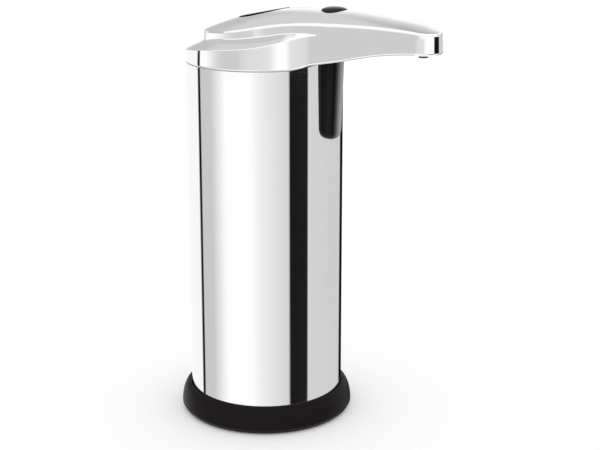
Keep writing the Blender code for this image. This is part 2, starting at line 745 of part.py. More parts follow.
def make_cells(axis):
    """Four AAA cells, nub up and nub down in turn."""
    for number in range(CELL_COUNT):
        profile = [(0.0, 0.0), (CELL_RADIUS - CELL_SHOULDER, 0.0), (CELL_RADIUS, CELL_SHOULDER),
                   (CELL_RADIUS, CELL_LENGTH - CELL_SHOULDER), (CELL_RADIUS - CELL_SHOULDER, CELL_LENGTH),
                   (CELL_NUB_RADIUS, CELL_LENGTH), (CELL_NUB_RADIUS, CELL_LENGTH + CELL_NUB_HEIGHT),
                   (0.0, CELL_LENGTH + CELL_NUB_HEIGHT)]
        name = f"battery_{number + 1}"
        x, y = polar(CELL_PITCH_RADIUS, cell_azimuth(number))
        up = cell_points_up(number)
        height = CELL_BASE if up else CELL_TOP
        place(name, turned_mesh(name, profile, FINE_STEPS), "cell_jacket", axis, (x, y, height),
              (0.0 if up else pi, 0.0, 0.0))


def bridge_outline(first, second, grow=0.0):
    """Return the outline of a contact strip with round ends over two cells, grown on every side."""
    start = Vector(polar(CELL_PITCH_RADIUS, cell_azimuth(first)))
    end = Vector(polar(CELL_PITCH_RADIUS, cell_azimuth(second)))
    along = (end - start).normalized()
    outline = []
    for centre, forward in ((end, along), (start, -along)):
        heading = atan2(forward.y, forward.x)
        for i in range(FINE_STEPS // 2 + 1):
            outline.append(polar(CONTACT_WIDTH / 2 + grow, heading - pi / 2 + pi * i / (FINE_STEPS // 2),
                                 centre))
    return outline


def make_contact(axis, name, outline, base, pads, rise):
    """A contact strip, with a raised pad under or over each nub."""
    strip = place(name, prism_mesh(name, outline, base, base + CONTACT_THICKNESS), "bright_metal", axis)
    middle = base + CONTACT_THICKNESS / 2
    for number in pads:
        centre = polar(CELL_PITCH_RADIUS, cell_azimuth(number))
        low, high = sorted((middle, rise))
        fuse(strip, cylinder_mesh(f"{name}_pad", CONTACT_PAD_RADIUS, low, high, centre, FINE_STEPS), axis)


def make_contacts(axis):
    """Door strips, roof bridge and terminals: pads meet the nubs and springs meet the flat ends."""
    door_pad = CELL_BASE - CELL_NUB_HEIGHT - SEAT_GAP
    roof_pad = CELL_TOP + CELL_NUB_HEIGHT + SEAT_GAP
    make_contact(axis, "door_contact_1", bridge_outline(0, 1), DOOR_CONTACT_BASE, [1], door_pad)
    make_contact(axis, "door_contact_2", bridge_outline(2, 3), DOOR_CONTACT_BASE, [3], door_pad)
    make_contact(axis, "roof_bridge", bridge_outline(1, 2), ROOF_CONTACT_BASE, [2], roof_pad)
    for name, number, pads in (("roof_terminal_1", 0, [0]), ("roof_terminal_2", 3, [])):
        centre = polar(CELL_PITCH_RADIUS, cell_azimuth(number))
        outline = [polar(CONTACT_WIDTH / 2, 2 * pi * i / FINE_STEPS, centre) for i in range(FINE_STEPS)]
        make_contact(axis, name, outline, ROOF_CONTACT_BASE, pads, roof_pad)
    for name, number, base, upright in (("door_spring_1", 0, DOOR_CONTACT_TOP, True),
                                        ("door_spring_2", 2, DOOR_CONTACT_TOP, True),
                                        ("roof_spring_1", 1, ROOF_CONTACT_BASE, False),
                                        ("roof_spring_2", 3, ROOF_CONTACT_BASE, False)):
        make_spring(axis, name, polar(CELL_PITCH_RADIUS, cell_azimuth(number)), base, upright)


def make_spring(axis, name, centre, base, upright):
    """A conical contact spring, wide at its strip and narrow at the cell."""
    count = round(SPRING_TURNS * SPRING_TURN_STEPS)
    rise = SPRING_HEIGHT - 2 * SPRING_WIRE
    path = []
    for i in range(count + 1):
        share = i / count
        radius = SPRING_FOOT_RADIUS + (SPRING_TIP_RADIUS - SPRING_FOOT_RADIUS) * share
        turn = 2 * pi * SPRING_TURNS * share
        path.append(Vector((radius * cos(turn), radius * sin(turn),
                            SEAT_GAP + SPRING_WIRE + rise * share)))
    place(name, swept_mesh(name, path, SPRING_WIRE / 2, WIRE_SIDES), "bright_metal", axis,
          (*centre, base), (0.0 if upright else pi, 0.0, 0.0))


def lobed_outline(lobe):
    """Return the outline round four equal circles, one about each cell."""
    outline = []
    for i in range(INNER_STEPS):
        azimuth = 2 * pi * i / INNER_STEPS
        reaches = []
        for number in range(CELL_COUNT):
            turn = azimuth - cell_azimuth(number)
            inside = lobe**2 - (CELL_PITCH_RADIUS * sin(turn)) ** 2
            if inside > 0:
                reaches.append(CELL_PITCH_RADIUS * cos(turn) + sqrt(inside))
        outline.append(polar(max(reaches), azimuth))
    return outline


def make_battery_holder(axis):
    """The holder: a flange on the foot's floor, a cup round the door, four bores under one roof."""
    cup_in = DOOR_BOSS_RADIUS + DOOR_TAB_REACH + DOOR_RUN_GAP
    cup_out = cup_in + HOLDER_CUP_WALL
    base = LEDGE_TOP + SEAT_GAP
    bore = CELL_RADIUS + HOLDER_BORE_GAP
    lobe = bore + HOLDER_WALL
    cup_top = HOLDER_BASE + HOLDER_CUP_CLOSE
    profile = [(FOOT_INNER - SEAT_GAP, base), (FOOT_INNER - SEAT_GAP, base + HOLDER_FLANGE),
               (cup_out, base + HOLDER_FLANGE), (cup_out, cup_top), (0.0, cup_top)]
    under = [(0.0, HOLDER_BASE), (cup_in, HOLDER_BASE), (cup_in, base)]
    holder = place("battery_holder", turned_mesh("battery_holder", under + profile, INNER_STEPS),
                   "grey_plastic", axis)
    middle = (cup_top + HOLDER_BASE) / 2
    block = place("holder_block", prism_mesh("holder_block", lobed_outline(lobe), middle, HOLDER_TOP),
                  None, axis)
    combine(holder, block, "UNION", "MANIFOLD")
    for number in range(CELL_COUNT):
        centre = polar(CELL_PITCH_RADIUS, cell_azimuth(number))
        bore_mesh = cylinder_mesh(f"holder_bore_{number + 1}", bore, HOLDER_BASE - CUT_OVERRUN,
                                  HOLDER_CEILING, centre, ROUND_STEPS)
        combine(holder, place(bore_mesh.name, bore_mesh, None, axis), solver="MANIFOLD")
    slot = prism_mesh("holder_bridge_slot", bridge_outline(1, 2, SEAT_GAP), ROOF_CONTACT_BASE - SEAT_GAP,
                      HOLDER_CEILING)
    combine(holder, place("holder_bridge_slot", slot, None, axis), solver="MANIFOLD")


# Frame and motor

def make_inner_frame(axis):
    """The moulded tube between foot and tank, with the motor's shelf and a hole in it for the wires."""
    inner = FRAME_RADIUS - FRAME_WALL
    seat = MOTOR_BOSS_RADIUS + SEAT_GAP
    top = TANK_BASE - SEAT_GAP
    profile = [(FRAME_RADIUS, FRAME_BASE), (FRAME_RADIUS, top), (inner, top), (inner, SHELF_TOP),
               (seat, SHELF_TOP), (seat, SHELF_BASE), (inner, SHELF_BASE), (inner, FRAME_BASE)]
    frame = place("inner_frame", turned_mesh("inner_frame", profile, INNER_STEPS), "grey_plastic", axis)
    hole = cylinder_mesh("shelf_wire_hole", WIRE_RADIUS * 2, SHELF_BASE - CUT_OVERRUN,
                         SHELF_TOP + CUT_OVERRUN, polar(WIRE_RUN_RADIUS - FRAME_WALL * 2, WIRE_AZIMUTH),
                         FINE_STEPS)
    cut(frame, hole, axis)


def make_motor(axis):
    """The pump motor: a flat can on the shelf, its boss in the shelf's hole, a bore for the shaft on top."""
    bore = SHAFT_RADIUS + SEAT_GAP
    profile = [(0.0, MOTOR_BASE - MOTOR_BOSS_DEPTH), (MOTOR_BOSS_RADIUS, MOTOR_BASE - MOTOR_BOSS_DEPTH),
               (MOTOR_BOSS_RADIUS, MOTOR_BASE), (MOTOR_RADIUS - MOTOR_EDGE, MOTOR_BASE),
               (MOTOR_RADIUS, MOTOR_BASE + MOTOR_EDGE), (MOTOR_RADIUS, MOTOR_TOP - MOTOR_EDGE),
               (MOTOR_RADIUS - MOTOR_EDGE, MOTOR_TOP), (bore, MOTOR_TOP),
               (bore, MOTOR_TOP - MOTOR_SHAFT_DEPTH), (0.0, MOTOR_TOP - MOTOR_SHAFT_DEPTH)]
    place("motor", turned_mesh("motor", profile), "bright_metal", axis)


# Gear pump

def involute(angle):
    """Return the involute function of a pressure angle."""
    return tan(angle) - angle


def gear_outline(phase):
    """Return the outline of a spur gear with involute flanks, one tooth at the phase angle."""
    base = PITCH_RADIUS * cos(GEAR_PRESSURE)
    root = PITCH_RADIUS - GEAR_DEDENDUM_SHARE * GEAR_MODULE
    half_tooth = pi / (2 * GEAR_TEETH) - GEAR_BACKLASH / (2 * PITCH_RADIUS) + involute(GEAR_PRESSURE)
    flank = []
    for i in range(GEAR_FLANK_STEPS + 1):
        radius = base + (GEAR_TIP - base) * i / GEAR_FLANK_STEPS
        flank.append((radius, half_tooth - involute(acos(base / radius))))
    flank.insert(0, (root, half_tooth))
    outline = []
    for tooth in range(GEAR_TEETH):
        middle = phase + 2 * pi * tooth / GEAR_TEETH
        for radius, offset in flank:
            outline.append(polar(radius, middle - offset))
        for radius, offset in reversed(flank):
            outline.append(polar(radius, middle + offset))
    return outline


def idler_place():
    """Return the idler's plan place: a centre distance from the drive gear, square to the outlet."""
    return polar(2 * PITCH_RADIUS, PUMP_AZIMUTH + pi / 2)


def mesh_place():
    """Return the plan point where the gears meet."""
    return polar(PITCH_RADIUS, PUMP_AZIMUTH + pi / 2)


def tube_run_place():
    """Return the plan place of the outlet tube's upright run: straight out from the pump's outlet."""
    start = Vector(mesh_place())
    along = sqrt(TUBE_RUN_RADIUS**2 - start.length_squared)
    return polar(along, PUMP_AZIMUTH, start)


def wire_run_place():
    """Return the plan place of the wires' upright run."""
    return polar(WIRE_RUN_RADIUS, WIRE_AZIMUTH)


def pump_outline(radius):
    """Return the pump's plan: two equal circles and the sides that join them."""
    heading = PUMP_AZIMUTH + pi / 2
    outline = []
    ends = ((Vector(idler_place()), heading - pi / 2), (Vector((0.0, 0.0)), heading + pi / 2))
    for centre, start in ends:
        for i in range(FINE_STEPS + 1):
            outline.append(polar(radius, start + pi * i / FINE_STEPS, centre))
    return outline


def pump_screw_places():
    """Return the plan places of the pump's four screws, in its wall past each gear."""
    heading = PUMP_AZIMUTH + pi / 2
    radius = CHAMBER_RADIUS + PUMP_WALL / 2
    places = []
    for centre, away in ((Vector(idler_place()), heading), (Vector((0.0, 0.0)), heading + pi)):
        for side in (-1, 1):
            places.append(polar(radius, away + side * SCREW_FAN, centre))
    return places


def make_gears(pump_axis, idler_axis):
    """The drive gear on its shaft and the idler on its pin, in mesh."""
    phase = PUMP_AZIMUTH + pi / 2
    low = CHAMBER_BASE + SEAT_GAP
    high = low + GEAR_THICKNESS
    drive = place("drive_gear", prism_mesh("drive_gear", gear_outline(phase), low, high), "gear_plastic",
                  pump_axis)
    cut(drive, cylinder_mesh("drive_gear_bore", SHAFT_RADIUS + RUN_GAP, low - CUT_OVERRUN,
                             high + CUT_OVERRUN,
                             steps=FINE_STEPS), pump_axis)
    shaft_low = MOTOR_TOP - MOTOR_SHAFT_DEPTH + SEAT_GAP
    shaft = cylinder_mesh("drive_shaft", SHAFT_RADIUS, shaft_low, high, steps=FINE_STEPS)
    place("drive_shaft", shaft, "bright_metal", pump_axis)
    meshed = gear_outline(phase + pi / GEAR_TEETH)
    idler = place("idler_gear", prism_mesh("idler_gear", meshed, low, high), "gear_plastic", idler_axis)
    cut(idler, cylinder_mesh("idler_gear_bore", PIN_RADIUS + RUN_GAP, low - CUT_OVERRUN,
                             high + CUT_OVERRUN,
                             steps=FINE_STEPS), idler_axis)


def make_pump(axis):
    """The pump's body, chambered for two gears, with ports and barb, its cover, pin, seals and screws."""
    body = place("pump_body", prism_mesh("pump_body", pump_outline(PUMP_RADIUS), CHAMBER_BASE, PUMP_TOP),
                 "white_plastic", axis)
    meet = Vector(mesh_place())
    port_height = (CHAMBER_BASE + CHAMBER_TOP) / 2
    inlet = polar(-PUMP_INLET_OFFSET, PUMP_AZIMUTH, meet)
    spigot_top = TANK_BASE + TANK_FLOOR
    fuse(body, cylinder_mesh("inlet_spigot", PUMP_INLET_RADIUS + PUMP_INLET_WALL,
                             CHAMBER_TOP + PUMP_ROOF / 2,
                             spigot_top, inlet, FINE_STEPS), axis)
    barb = cylinder_mesh("outlet_barb", PUMP_BARB_RADIUS, CHAMBER_RADIUS, PUMP_RADIUS + PUMP_BARB_LENGTH,
                         steps=FINE_STEPS)
    fuse(body, barb, axis, (meet.x, meet.y, port_height), (0.0, pi / 2, PUMP_AZIMUTH))
    for name, centre in (("drive_chamber", (0.0, 0.0)), ("idler_chamber", idler_place())):
        cut(body, cylinder_mesh(name, CHAMBER_RADIUS, CHAMBER_BASE - CUT_OVERRUN, CHAMBER_TOP, centre),
            axis)
    cut(body, cylinder_mesh("inlet_port", PUMP_INLET_RADIUS, (CHAMBER_BASE + CHAMBER_TOP) / 2,
                            spigot_top + CUT_OVERRUN, inlet, FINE_STEPS), axis)
    port = cylinder_mesh("outlet_port", PUMP_PORT_RADIUS, 0.0,
                         PUMP_RADIUS + PUMP_BARB_LENGTH + CUT_OVERRUN,
                         steps=FINE_STEPS)
    cut(body, port, axis, (meet.x, meet.y, port_height), (0.0, pi / 2, PUMP_AZIMUTH))
    cover = place("pump_cover", prism_mesh("pump_cover", pump_outline(PUMP_RADIUS), PUMP_BASE,
                                           PUMP_BASE + PUMP_COVER),
                  "white_plastic", axis)
    seal_top = PUMP_BASE + SHAFT_SEAL_HEIGHT + SEAT_GAP
    cut(cover, cylinder_mesh("shaft_hole", SHAFT_RADIUS + SEAT_GAP, PUMP_BASE - CUT_OVERRUN,
                             PUMP_BASE + PUMP_COVER + CUT_OVERRUN, steps=FINE_STEPS), axis)
    cut(cover, cylinder_mesh("seal_pocket", SHAFT_SEAL_RADIUS + SEAT_GAP, PUMP_BASE - CUT_OVERRUN,
                             seal_top,
                             steps=FINE_STEPS), axis)
    seal = tube_mesh("shaft_seal", SHAFT_SEAL_RADIUS, SHAFT_RADIUS + RUN_GAP, PUMP_BASE,
                     PUMP_BASE + SHAFT_SEAL_HEIGHT, steps=FINE_STEPS)
    place("shaft_seal", seal, "black_rubber", axis)
    head_seat = PUMP_BASE + SCREW_HEAD + SCREW_GAP
    screw_end = head_seat + SCREW_LENGTH
    for number, centre in enumerate(pump_screw_places()):
        cut(cover, cylinder_mesh(f"screw_recess_{number}", SCREW_HEAD_RADIUS + SCREW_GAP,
                                 PUMP_BASE - CUT_OVERRUN,
                                 head_seat, centre, FINE_STEPS), axis)
        cut(cover, cylinder_mesh(f"screw_pass_{number}", SCREW_RADIUS + SCREW_GAP, PUMP_BASE,
                                 PUMP_BASE + PUMP_COVER + CUT_OVERRUN, centre, FINE_STEPS), axis)
        cut(body, cylinder_mesh(f"screw_hole_{number}", SCREW_RADIUS + SCREW_GAP,
                                CHAMBER_BASE - CUT_OVERRUN,
                                screw_end + SEAT_GAP, centre, FINE_STEPS), axis)
        make_screw(axis, f"pump_screw_{number + 1}", centre, head_seat - SCREW_GAP, 1)
    x, y = idler_place()
    pin_low = CHAMBER_BASE + SEAT_GAP
    pin = cylinder_mesh("idler_pin", PIN_RADIUS, pin_low, CHAMBER_TOP - SEAT_GAP, (x, y), FINE_STEPS)
    place("idler_pin", pin, "bright_metal", axis)
    inlet_seal = tube_mesh("inlet_seal",
                           PUMP_INLET_RADIUS + PUMP_INLET_WALL + SEAT_GAP + INLET_SEAL_WIDTH,
                           PUMP_INLET_RADIUS + PUMP_INLET_WALL + SEAT_GAP, PUMP_TOP + SEAT_GAP,
                           PUMP_TOP + SEAT_GAP + INLET_SEAL_HEIGHT, inlet, FINE_STEPS)
    place("inlet_seal", inlet_seal, "black_rubber", axis)


def make_screw(axis, name, centre, seat, way):
    """A pan-head screw: its head against the seat, its shank up for way 1 or down for way -1."""
    profile = [(0.0, -SCREW_HEAD), (SCREW_HEAD_RADIUS * SCREW_CROWN_SHARE, -SCREW_HEAD),
               (SCREW_HEAD_RADIUS, -SCREW_HEAD / 2),
               (SCREW_HEAD_RADIUS, 0.0), (SCREW_RADIUS, 0.0), (SCREW_RADIUS, SCREW_LENGTH),
               (0.0, SCREW_LENGTH)]
    place(name, turned_mesh(name, profile, FINE_STEPS), "bright_metal", axis, (*centre, seat),
          (0.0 if way > 0 else pi, 0.0, 0.0))


# Tank

def channel_cutters(name, grow, low, high):
    """Return two upright cutters: the tube's and the wires' channels, grown by a wall."""
    tube = cylinder_mesh(f"{name}_tube_channel", TUBE_RADIUS + CHANNEL_GAP + grow, low, high,
                         tube_run_place())
    wire = cylinder_mesh(f"{name}_wire_channel", WIRE_RADIUS + CHANNEL_GAP + grow, low, high,
                         wire_run_place())
    return tube, wire


def make_tank(axis):
    """The soap tank: a round cup, two channels down its outside, the pump's inlet in its floor."""
    tank = place("soap_tank", cylinder_mesh("soap_tank", TANK_RADIUS, TANK_BASE, TANK_TOP,
                                            steps=INNER_STEPS),
                 "clear_plastic", axis)
    for channel in channel_cutters("tank", 0.0, TANK_BASE - CUT_OVERRUN, TANK_TOP + CUT_OVERRUN):
        cut(tank, channel, axis)
    hollow_mesh = cylinder_mesh("tank_hollow", TANK_RADIUS - TANK_WALL, TANK_BASE + TANK_FLOOR,
                                TANK_TOP + CUT_OVERRUN, steps=INNER_STEPS)
    hollow = place("tank_hollow", hollow_mesh, None, axis)
    for channel in channel_cutters("hollow", TANK_WALL, TANK_BASE, TANK_TOP + 2 * CUT_OVERRUN):
        cut(hollow, channel, axis)
    combine(tank, hollow)
    inlet = polar(-PUMP_INLET_OFFSET, PUMP_AZIMUTH, Vector(mesh_place()))
    hole = PUMP_INLET_RADIUS + PUMP_INLET_WALL + SEAT_GAP
    cut(tank, cylinder_mesh("tank_inlet_hole", hole, TANK_BASE - CUT_OVERRUN,
                            TANK_BASE + TANK_FLOOR + CUT_OVERRUN,
                            inlet, FINE_STEPS), axis)
    pocket = hole + INLET_SEAL_WIDTH + SEAT_GAP
    cut(tank, cylinder_mesh("tank_seal_pocket", pocket, TANK_BASE - CUT_OVERRUN,
                            TANK_BASE + INLET_SEAL_HEIGHT + SEAT_GAP, inlet, FINE_STEPS), axis)


def make_tank_lid(axis, cap_axis):
    """The tank's lid with the tilted filler neck, and the gasket under it."""
    ring = tube_mesh("tank_gasket", TANK_RADIUS, TANK_RADIUS - TANK_WALL, GASKET_BASE,
                     GASKET_BASE + TANK_GASKET, steps=INNER_STEPS)
    gasket = place("tank_gasket", ring, "seal_rubber", axis)
    for channel in channel_cutters("gasket", 0.0, GASKET_BASE - CUT_OVERRUN, LID_BASE):
        cut(gasket, channel, axis)
    lid = place("tank_lid", cylinder_mesh("tank_lid", TANK_RADIUS, LID_BASE, LID_TOP, steps=INNER_STEPS),
                "white_plastic", axis)
    for channel in channel_cutters("lid", 0.0, LID_BASE - CUT_OVERRUN, LID_TOP + CUT_OVERRUN):
        cut(lid, channel, axis)
    neck_top = -(CAP_THICKNESS + SEAL_HEIGHT + 2 * SEAT_GAP)
    fall = (cap_height() - LID_BASE) / cos(CAP_TILT)
    neck = place("filler_neck", cylinder_mesh("filler_neck", NECK_RADIUS, -fall - CUT_OVERRUN, neck_top),
                 None, cap_axis)
    under = box_mesh("neck_trim", (-BODY_RADIUS, -BODY_RADIUS, LID_BASE - BODY_RADIUS),
                     (BODY_RADIUS, BODY_RADIUS, (LID_BASE + LID_TOP) / 2))
    cut(neck, under, axis)
    combine(lid, neck, "UNION")
    cut(lid, cylinder_mesh("filler_bore", NECK_BORE, -fall - 2 * CUT_OVERRUN, neck_top + CUT_OVERRUN),
        cap_axis)


# Tube and wires

def bend_knots(corner, before, after, radius):
    """Return points round a square bend, from one heading to the other."""
    knots = []
    for i in range(BEND_STEPS + 1):
        turn = pi / 2 * i / BEND_STEPS
        knots.append(corner + before * radius * (sin(turn) - 1) + after * radius * (1 - cos(turn)))
    return knots


def make_outlet_tube(axis):
    """The silicone tube: out of the pump, up its channel and along the spout to the nozzle.

    Its rests lie at shares of the spout's reach, off the middle by shares of the body's radius.
    """
    up = Vector((0.0, 0.0, 1.0))
    meet = Vector(mesh_place())
    run = Vector(tube_run_place())
    port_height = (CHAMBER_BASE + CHAMBER_TOP) / 2
    out = Vector((cos(PUMP_AZIMUTH), sin(PUMP_AZIMUTH), 0.0))
    start = Vector((*meet, port_height)) + out * (PUMP_RADIUS + PUMP_BARB_LENGTH + SEAT_GAP)
    rests = []
    for station, side in TUBE_REST_SHARES:
        x = station * SPOUT_REACH
        rests.append(Vector((x, side * BODY_RADIUS, deck_height(x) + TUBE_RADIUS + TUBE_LIFT)))
    crest = Vector((*run, deck_height(0.0) + TUBE_RADIUS + TUBE_LIFT))
    ahead = Vector((rests[0].x - run.x, rests[0].y - run.y, 0.0)).normalized()
    bend = BEND_SHARE * TUBE_RADIUS
    knots = [start] + bend_knots(Vector((*run, port_height)), out, up, bend)
    knots += [Vector((*run, (TANK_BASE + TANK_TOP) / 2))] + bend_knots(crest, up, ahead, bend) + rests
    end = NOZZLE_STATION - NOZZLE_BODY_RADIUS - SEAT_GAP
    height = deck_height(NOZZLE_STATION) + NOZZLE_INLET_RISE
    knots += [Vector((end - 2 * TUBE_RADIUS, 0.0, height)), Vector((end, 0.0, height))]
    path = smooth_path(knots, ROUTE_STEP_SHARE * TUBE_BORE)
    place("outlet_tube", swept_mesh("outlet_tube", path, TUBE_RADIUS, TUBE_SIDES, TUBE_BORE),
          "tube_silicone", axis)


def make_wire_loom(axis):
    """The sleeved wires from the battery holder's side up to the control board."""
    up = Vector((0.0, 0.0, 1.0))
    out = Vector((cos(WIRE_AZIMUTH), sin(WIRE_AZIMUTH), 0.0))
    bend = BEND_SHARE * WIRE_RADIUS
    lobe = CELL_PITCH_RADIUS + CELL_RADIUS + HOLDER_BORE_GAP + HOLDER_WALL
    start = out * (lobe + SEAT_GAP) + up * ROOF_CONTACT_BASE
    rise = out * (WIRE_RUN_RADIUS - 2 * FRAME_WALL)
    run = out * WIRE_RUN_RADIUS
    board_x = BOARD_REAR_SHARE * SPOUT_REACH + 2 * bend
    board_y = WIRE_END_SHARE * BOARD_HALF_WIDTH
    crest = run + up * (deck_height(0.0) + WIRE_RADIUS + WIRE_LIFT)
    ahead = Vector((board_x - run.x, board_y - run.y, 0.0)).normalized()
    knots = [start] + bend_knots(rise + up * ROOF_CONTACT_BASE, out, up,
                                 bend) + [rise + up * (SHELF_TOP + bend)]
    knots += [run + up * (TANK_BASE - 2 * bend), run + up * TANK_BASE,
              run + up * ((TANK_BASE + TANK_TOP) / 2)]
    knots += bend_knots(crest, up, ahead, bend)
    knots += [Vector((board_x, board_y, crest.z)) - ahead * bend,
              Vector((board_x, board_y, board_base() - bend)),
              Vector((board_x, board_y, board_base() - SEAT_GAP))]
    path = smooth_path(knots, ROUTE_STEP_SHARE * WIRE_RADIUS)
    place("wire_loom", swept_mesh("wire_loom", path, WIRE_RADIUS, WIRE_SIDES), "wire_red", axis)


# Sleeve and sensor

def make_sleeve(axis):
    """The polished steel sleeve, slotted at the top of its front for the sensor."""
    low = SLEEVE_SEAT + SEAT_GAP
    high = SEAM_HEIGHT - SEAT_GAP
    tube = tube_mesh("steel_sleeve", BODY_RADIUS, SLEEVE_BORE, low, high, steps=BODY_STEPS)
    sleeve = place("steel_sleeve", tube, "steel", axis)
    slot = box_mesh("sensor_slot", (SLEEVE_BORE / 2, -SLOT_WIDTH / 2, SEAM_HEIGHT - SLOT_DEPTH),
                    (BODY_RADIUS + CUT_OVERRUN, SLOT_WIDTH / 2, SEAM_HEIGHT + CUT_OVERRUN))
    cut(sleeve, slot, axis)


def window_ring(height, inset):
    """Return the window's plan at a height: flat against the sleeve, round at its front corners."""
    top = window_top()
    rise = height - (top - WINDOW_LENGTH)
    half = WINDOW_HALF_WIDTH
    if rise < half:
        half = sqrt(max(WINDOW_HALF_WIDTH**2 - (WINDOW_HALF_WIDTH - rise) ** 2, 0.0))
    toe = 0.0
    if rise < WINDOW_TOE:
        toe = WINDOW_TOE - sqrt(max(WINDOW_TOE**2 - (WINDOW_TOE - rise) ** 2, 0.0))
    front = BODY_RADIUS + WINDOW_REACH - WINDOW_LEAN * (top - height) / WINDOW_LENGTH - toe - inset
    half = max(half - inset, WINDOW_HEM / 2)
    corner = min(WINDOW_CORNER, half)
    back = BODY_RADIUS - WINDOW_REACH / 2
    ring = [(back, -half)]
    for i in range(WINDOW_CORNER_STEPS + 1):
        turn = -pi / 2 + pi / 2 * i / WINDOW_CORNER_STEPS
        ring.append((front - corner + corner * cos(turn), -half + corner + corner * sin(turn)))
    for i in range(WINDOW_CORNER_STEPS + 1):
        turn = pi / 2 * i / WINDOW_CORNER_STEPS
        ring.append((front - corner + corner * cos(turn), half - corner + corner * sin(turn)))
    ring.append((back, half))
    return [Vector((x, y, height)) for x, y in ring]


def window_top():
    """Return the height where the window meets the chassis deck."""
    return head_height(BOTTOM_SHARES, BODY_RADIUS) + DECK_LIFT - SEAT_GAP


def make_sensor_window(axis):
    """The tongue-shaped window on the sleeve's front, hollow behind, its lower end round."""
    low = window_top() - WINDOW_LENGTH
    rises = [WINDOW_HALF_WIDTH * (1 - cos(pi / 4 * (2 * i + 1) / WINDOW_RINGS)) for i in range(WINDOW_RINGS)]
    heights = [low + rise for rise in rises] + [low + WINDOW_HALF_WIDTH, window_top()]
    window = place("sensor_window", ring_mesh("sensor_window", [window_ring(h, 0.0) for h in heights]),
                   "black_window", axis)
    cut(window, cylinder_mesh("window_back", BODY_RADIUS + SEAT_GAP, low - CUT_OVERRUN,
                              window_top() + CUT_OVERRUN,
                              steps=BODY_STEPS), axis)
    pocket_half = WINDOW_HALF_WIDTH - WINDOW_WALL - WINDOW_HEM
    pocket = box_mesh("window_pocket", (BODY_RADIUS - WINDOW_REACH, -pocket_half,
                                        SEAM_HEIGHT - SLOT_DEPTH),
                      (BODY_RADIUS + WINDOW_REACH - WINDOW_LEAN - WINDOW_WALL, pocket_half,
                       window_top() - WINDOW_WALL))
    cut(window, pocket, axis)


def make_sensor_parts(axis):
    """The sensor board behind the sleeve's slot and the two infrared diodes behind the window."""
    back = TANK_RADIUS + SEAT_GAP
    front = back + SENSOR_BOARD_THICKNESS
    base = SEAM_HEIGHT - SLOT_DEPTH
    board = box_mesh("sensor_board", (back, -SENSOR_BOARD_WIDTH / 2, base),
                     (front, SENSOR_BOARD_WIDTH / 2, SPIGOT_BASE - SEAT_GAP))
    place("sensor_board", board, "board_green", axis)
    for name, rise in zip(("ir_receiver", "ir_emitter"), DIODE_RISES):
        profile = [(0.0, 0.0), (DIODE_RADIUS + DIODE_FLANGE, 0.0),
                   (DIODE_RADIUS + DIODE_FLANGE, 2 * DIODE_FLANGE), (DIODE_RADIUS, 2 * DIODE_FLANGE),
                   (DIODE_RADIUS, DIODE_LENGTH - DIODE_RADIUS)]
        for i in range(1, WINDOW_CORNER_STEPS + 1):
            turn = pi / 2 * i / WINDOW_CORNER_STEPS
            profile.append((max(DIODE_RADIUS * cos(turn), 0.0) if i < WINDOW_CORNER_STEPS else 0.0,
                            DIODE_LENGTH - DIODE_RADIUS + DIODE_RADIUS * sin(turn)))
        place(name, turned_mesh(name, profile, FINE_STEPS), "black_window", axis,
              (front + SEAT_GAP, 0.0, base + rise), (0.0, pi / 2, 0.0))


# Head

def make_head_chassis(axis, cap_axis):
    """The chassis: a beak-shaped deck that floors the head, the spigot in the sleeve, the board's posts."""
    deck_plan = plan_outline(BAND, DECK_INSET)

    def top(x, y):
        return deck_height(x)

    def under(x, y):
        return deck_height(x) - DECK_THICKNESS

    rings = [inner_ring(deck_plan, 0.0, top)]
    rings += [inner_ring(deck_plan, share, top) for share in reversed(DECK_RING_SHARES)]
    rings += [inner_ring(deck_plan, share, under) for share in DECK_RING_SHARES]
    rings.append(inner_ring(deck_plan, 0.0, under))
    chassis = place("head_chassis", crowned_skin("head_chassis", rings), "grey_plastic", axis)
    outer = SLEEVE_BORE - SEAT_GAP
    shoulder = SEAM_HEIGHT - SEAT_GAP
    inner = outer - SPIGOT_WALL
    step = outer - SPIGOT_STEP
    knit = deck_height(0.0) - DECK_THICKNESS / 2
    profile = [(outer, SPIGOT_BASE), (outer, shoulder), (step, shoulder), (step, knit), (inner, knit),
               (inner, SPIGOT_BASE)]
    fuse(chassis, turned_mesh("spigot", profile, INNER_STEPS), axis)
    for number, centre in enumerate(post_places()):
        low = deck_height(centre[0]) - DECK_THICKNESS / 2
        post = cylinder_mesh(f"board_post_{number}", POST_RADIUS, low, board_base() - SEAT_GAP, centre,
                             FINE_STEPS)
        fuse(chassis, post, axis)
        hole_low = board_base() + BOARD_THICKNESS - SCREW_LENGTH - CUT_OVERRUN
        hole = cylinder_mesh(f"board_post_hole_{number}", SCREW_RADIUS + SCREW_GAP, hole_low, board_base(),
                             centre, FINE_STEPS)
        cut(chassis, hole, axis)
    reach = HEAD_HEIGHT + SPIGOT_DEPTH
    cut(chassis, cylinder_mesh("deck_neck_hole", NECK_RADIUS + SEAT_GAP, -reach, CUT_OVERRUN), cap_axis)
    for name, radius, centre in (("deck_tube_hole", TUBE_RADIUS + 3 * SEAT_GAP, tube_run_place()),
                                 ("deck_wire_hole", WIRE_RADIUS + 3 * SEAT_GAP, wire_run_place())):
        cut(chassis, cylinder_mesh(name, radius, SPIGOT_BASE - CUT_OVERRUN, SEAM_HEIGHT + HEAD_HEIGHT,
                                   centre,
                                   FINE_STEPS), axis)
    cut(chassis, cylinder_mesh("deck_nozzle_hole", NOZZLE_RADIUS + SEAT_GAP, SEAM_HEIGHT,
                               SEAM_HEIGHT + HEAD_HEIGHT,
                               (NOZZLE_STATION, 0.0), FINE_STEPS), axis)


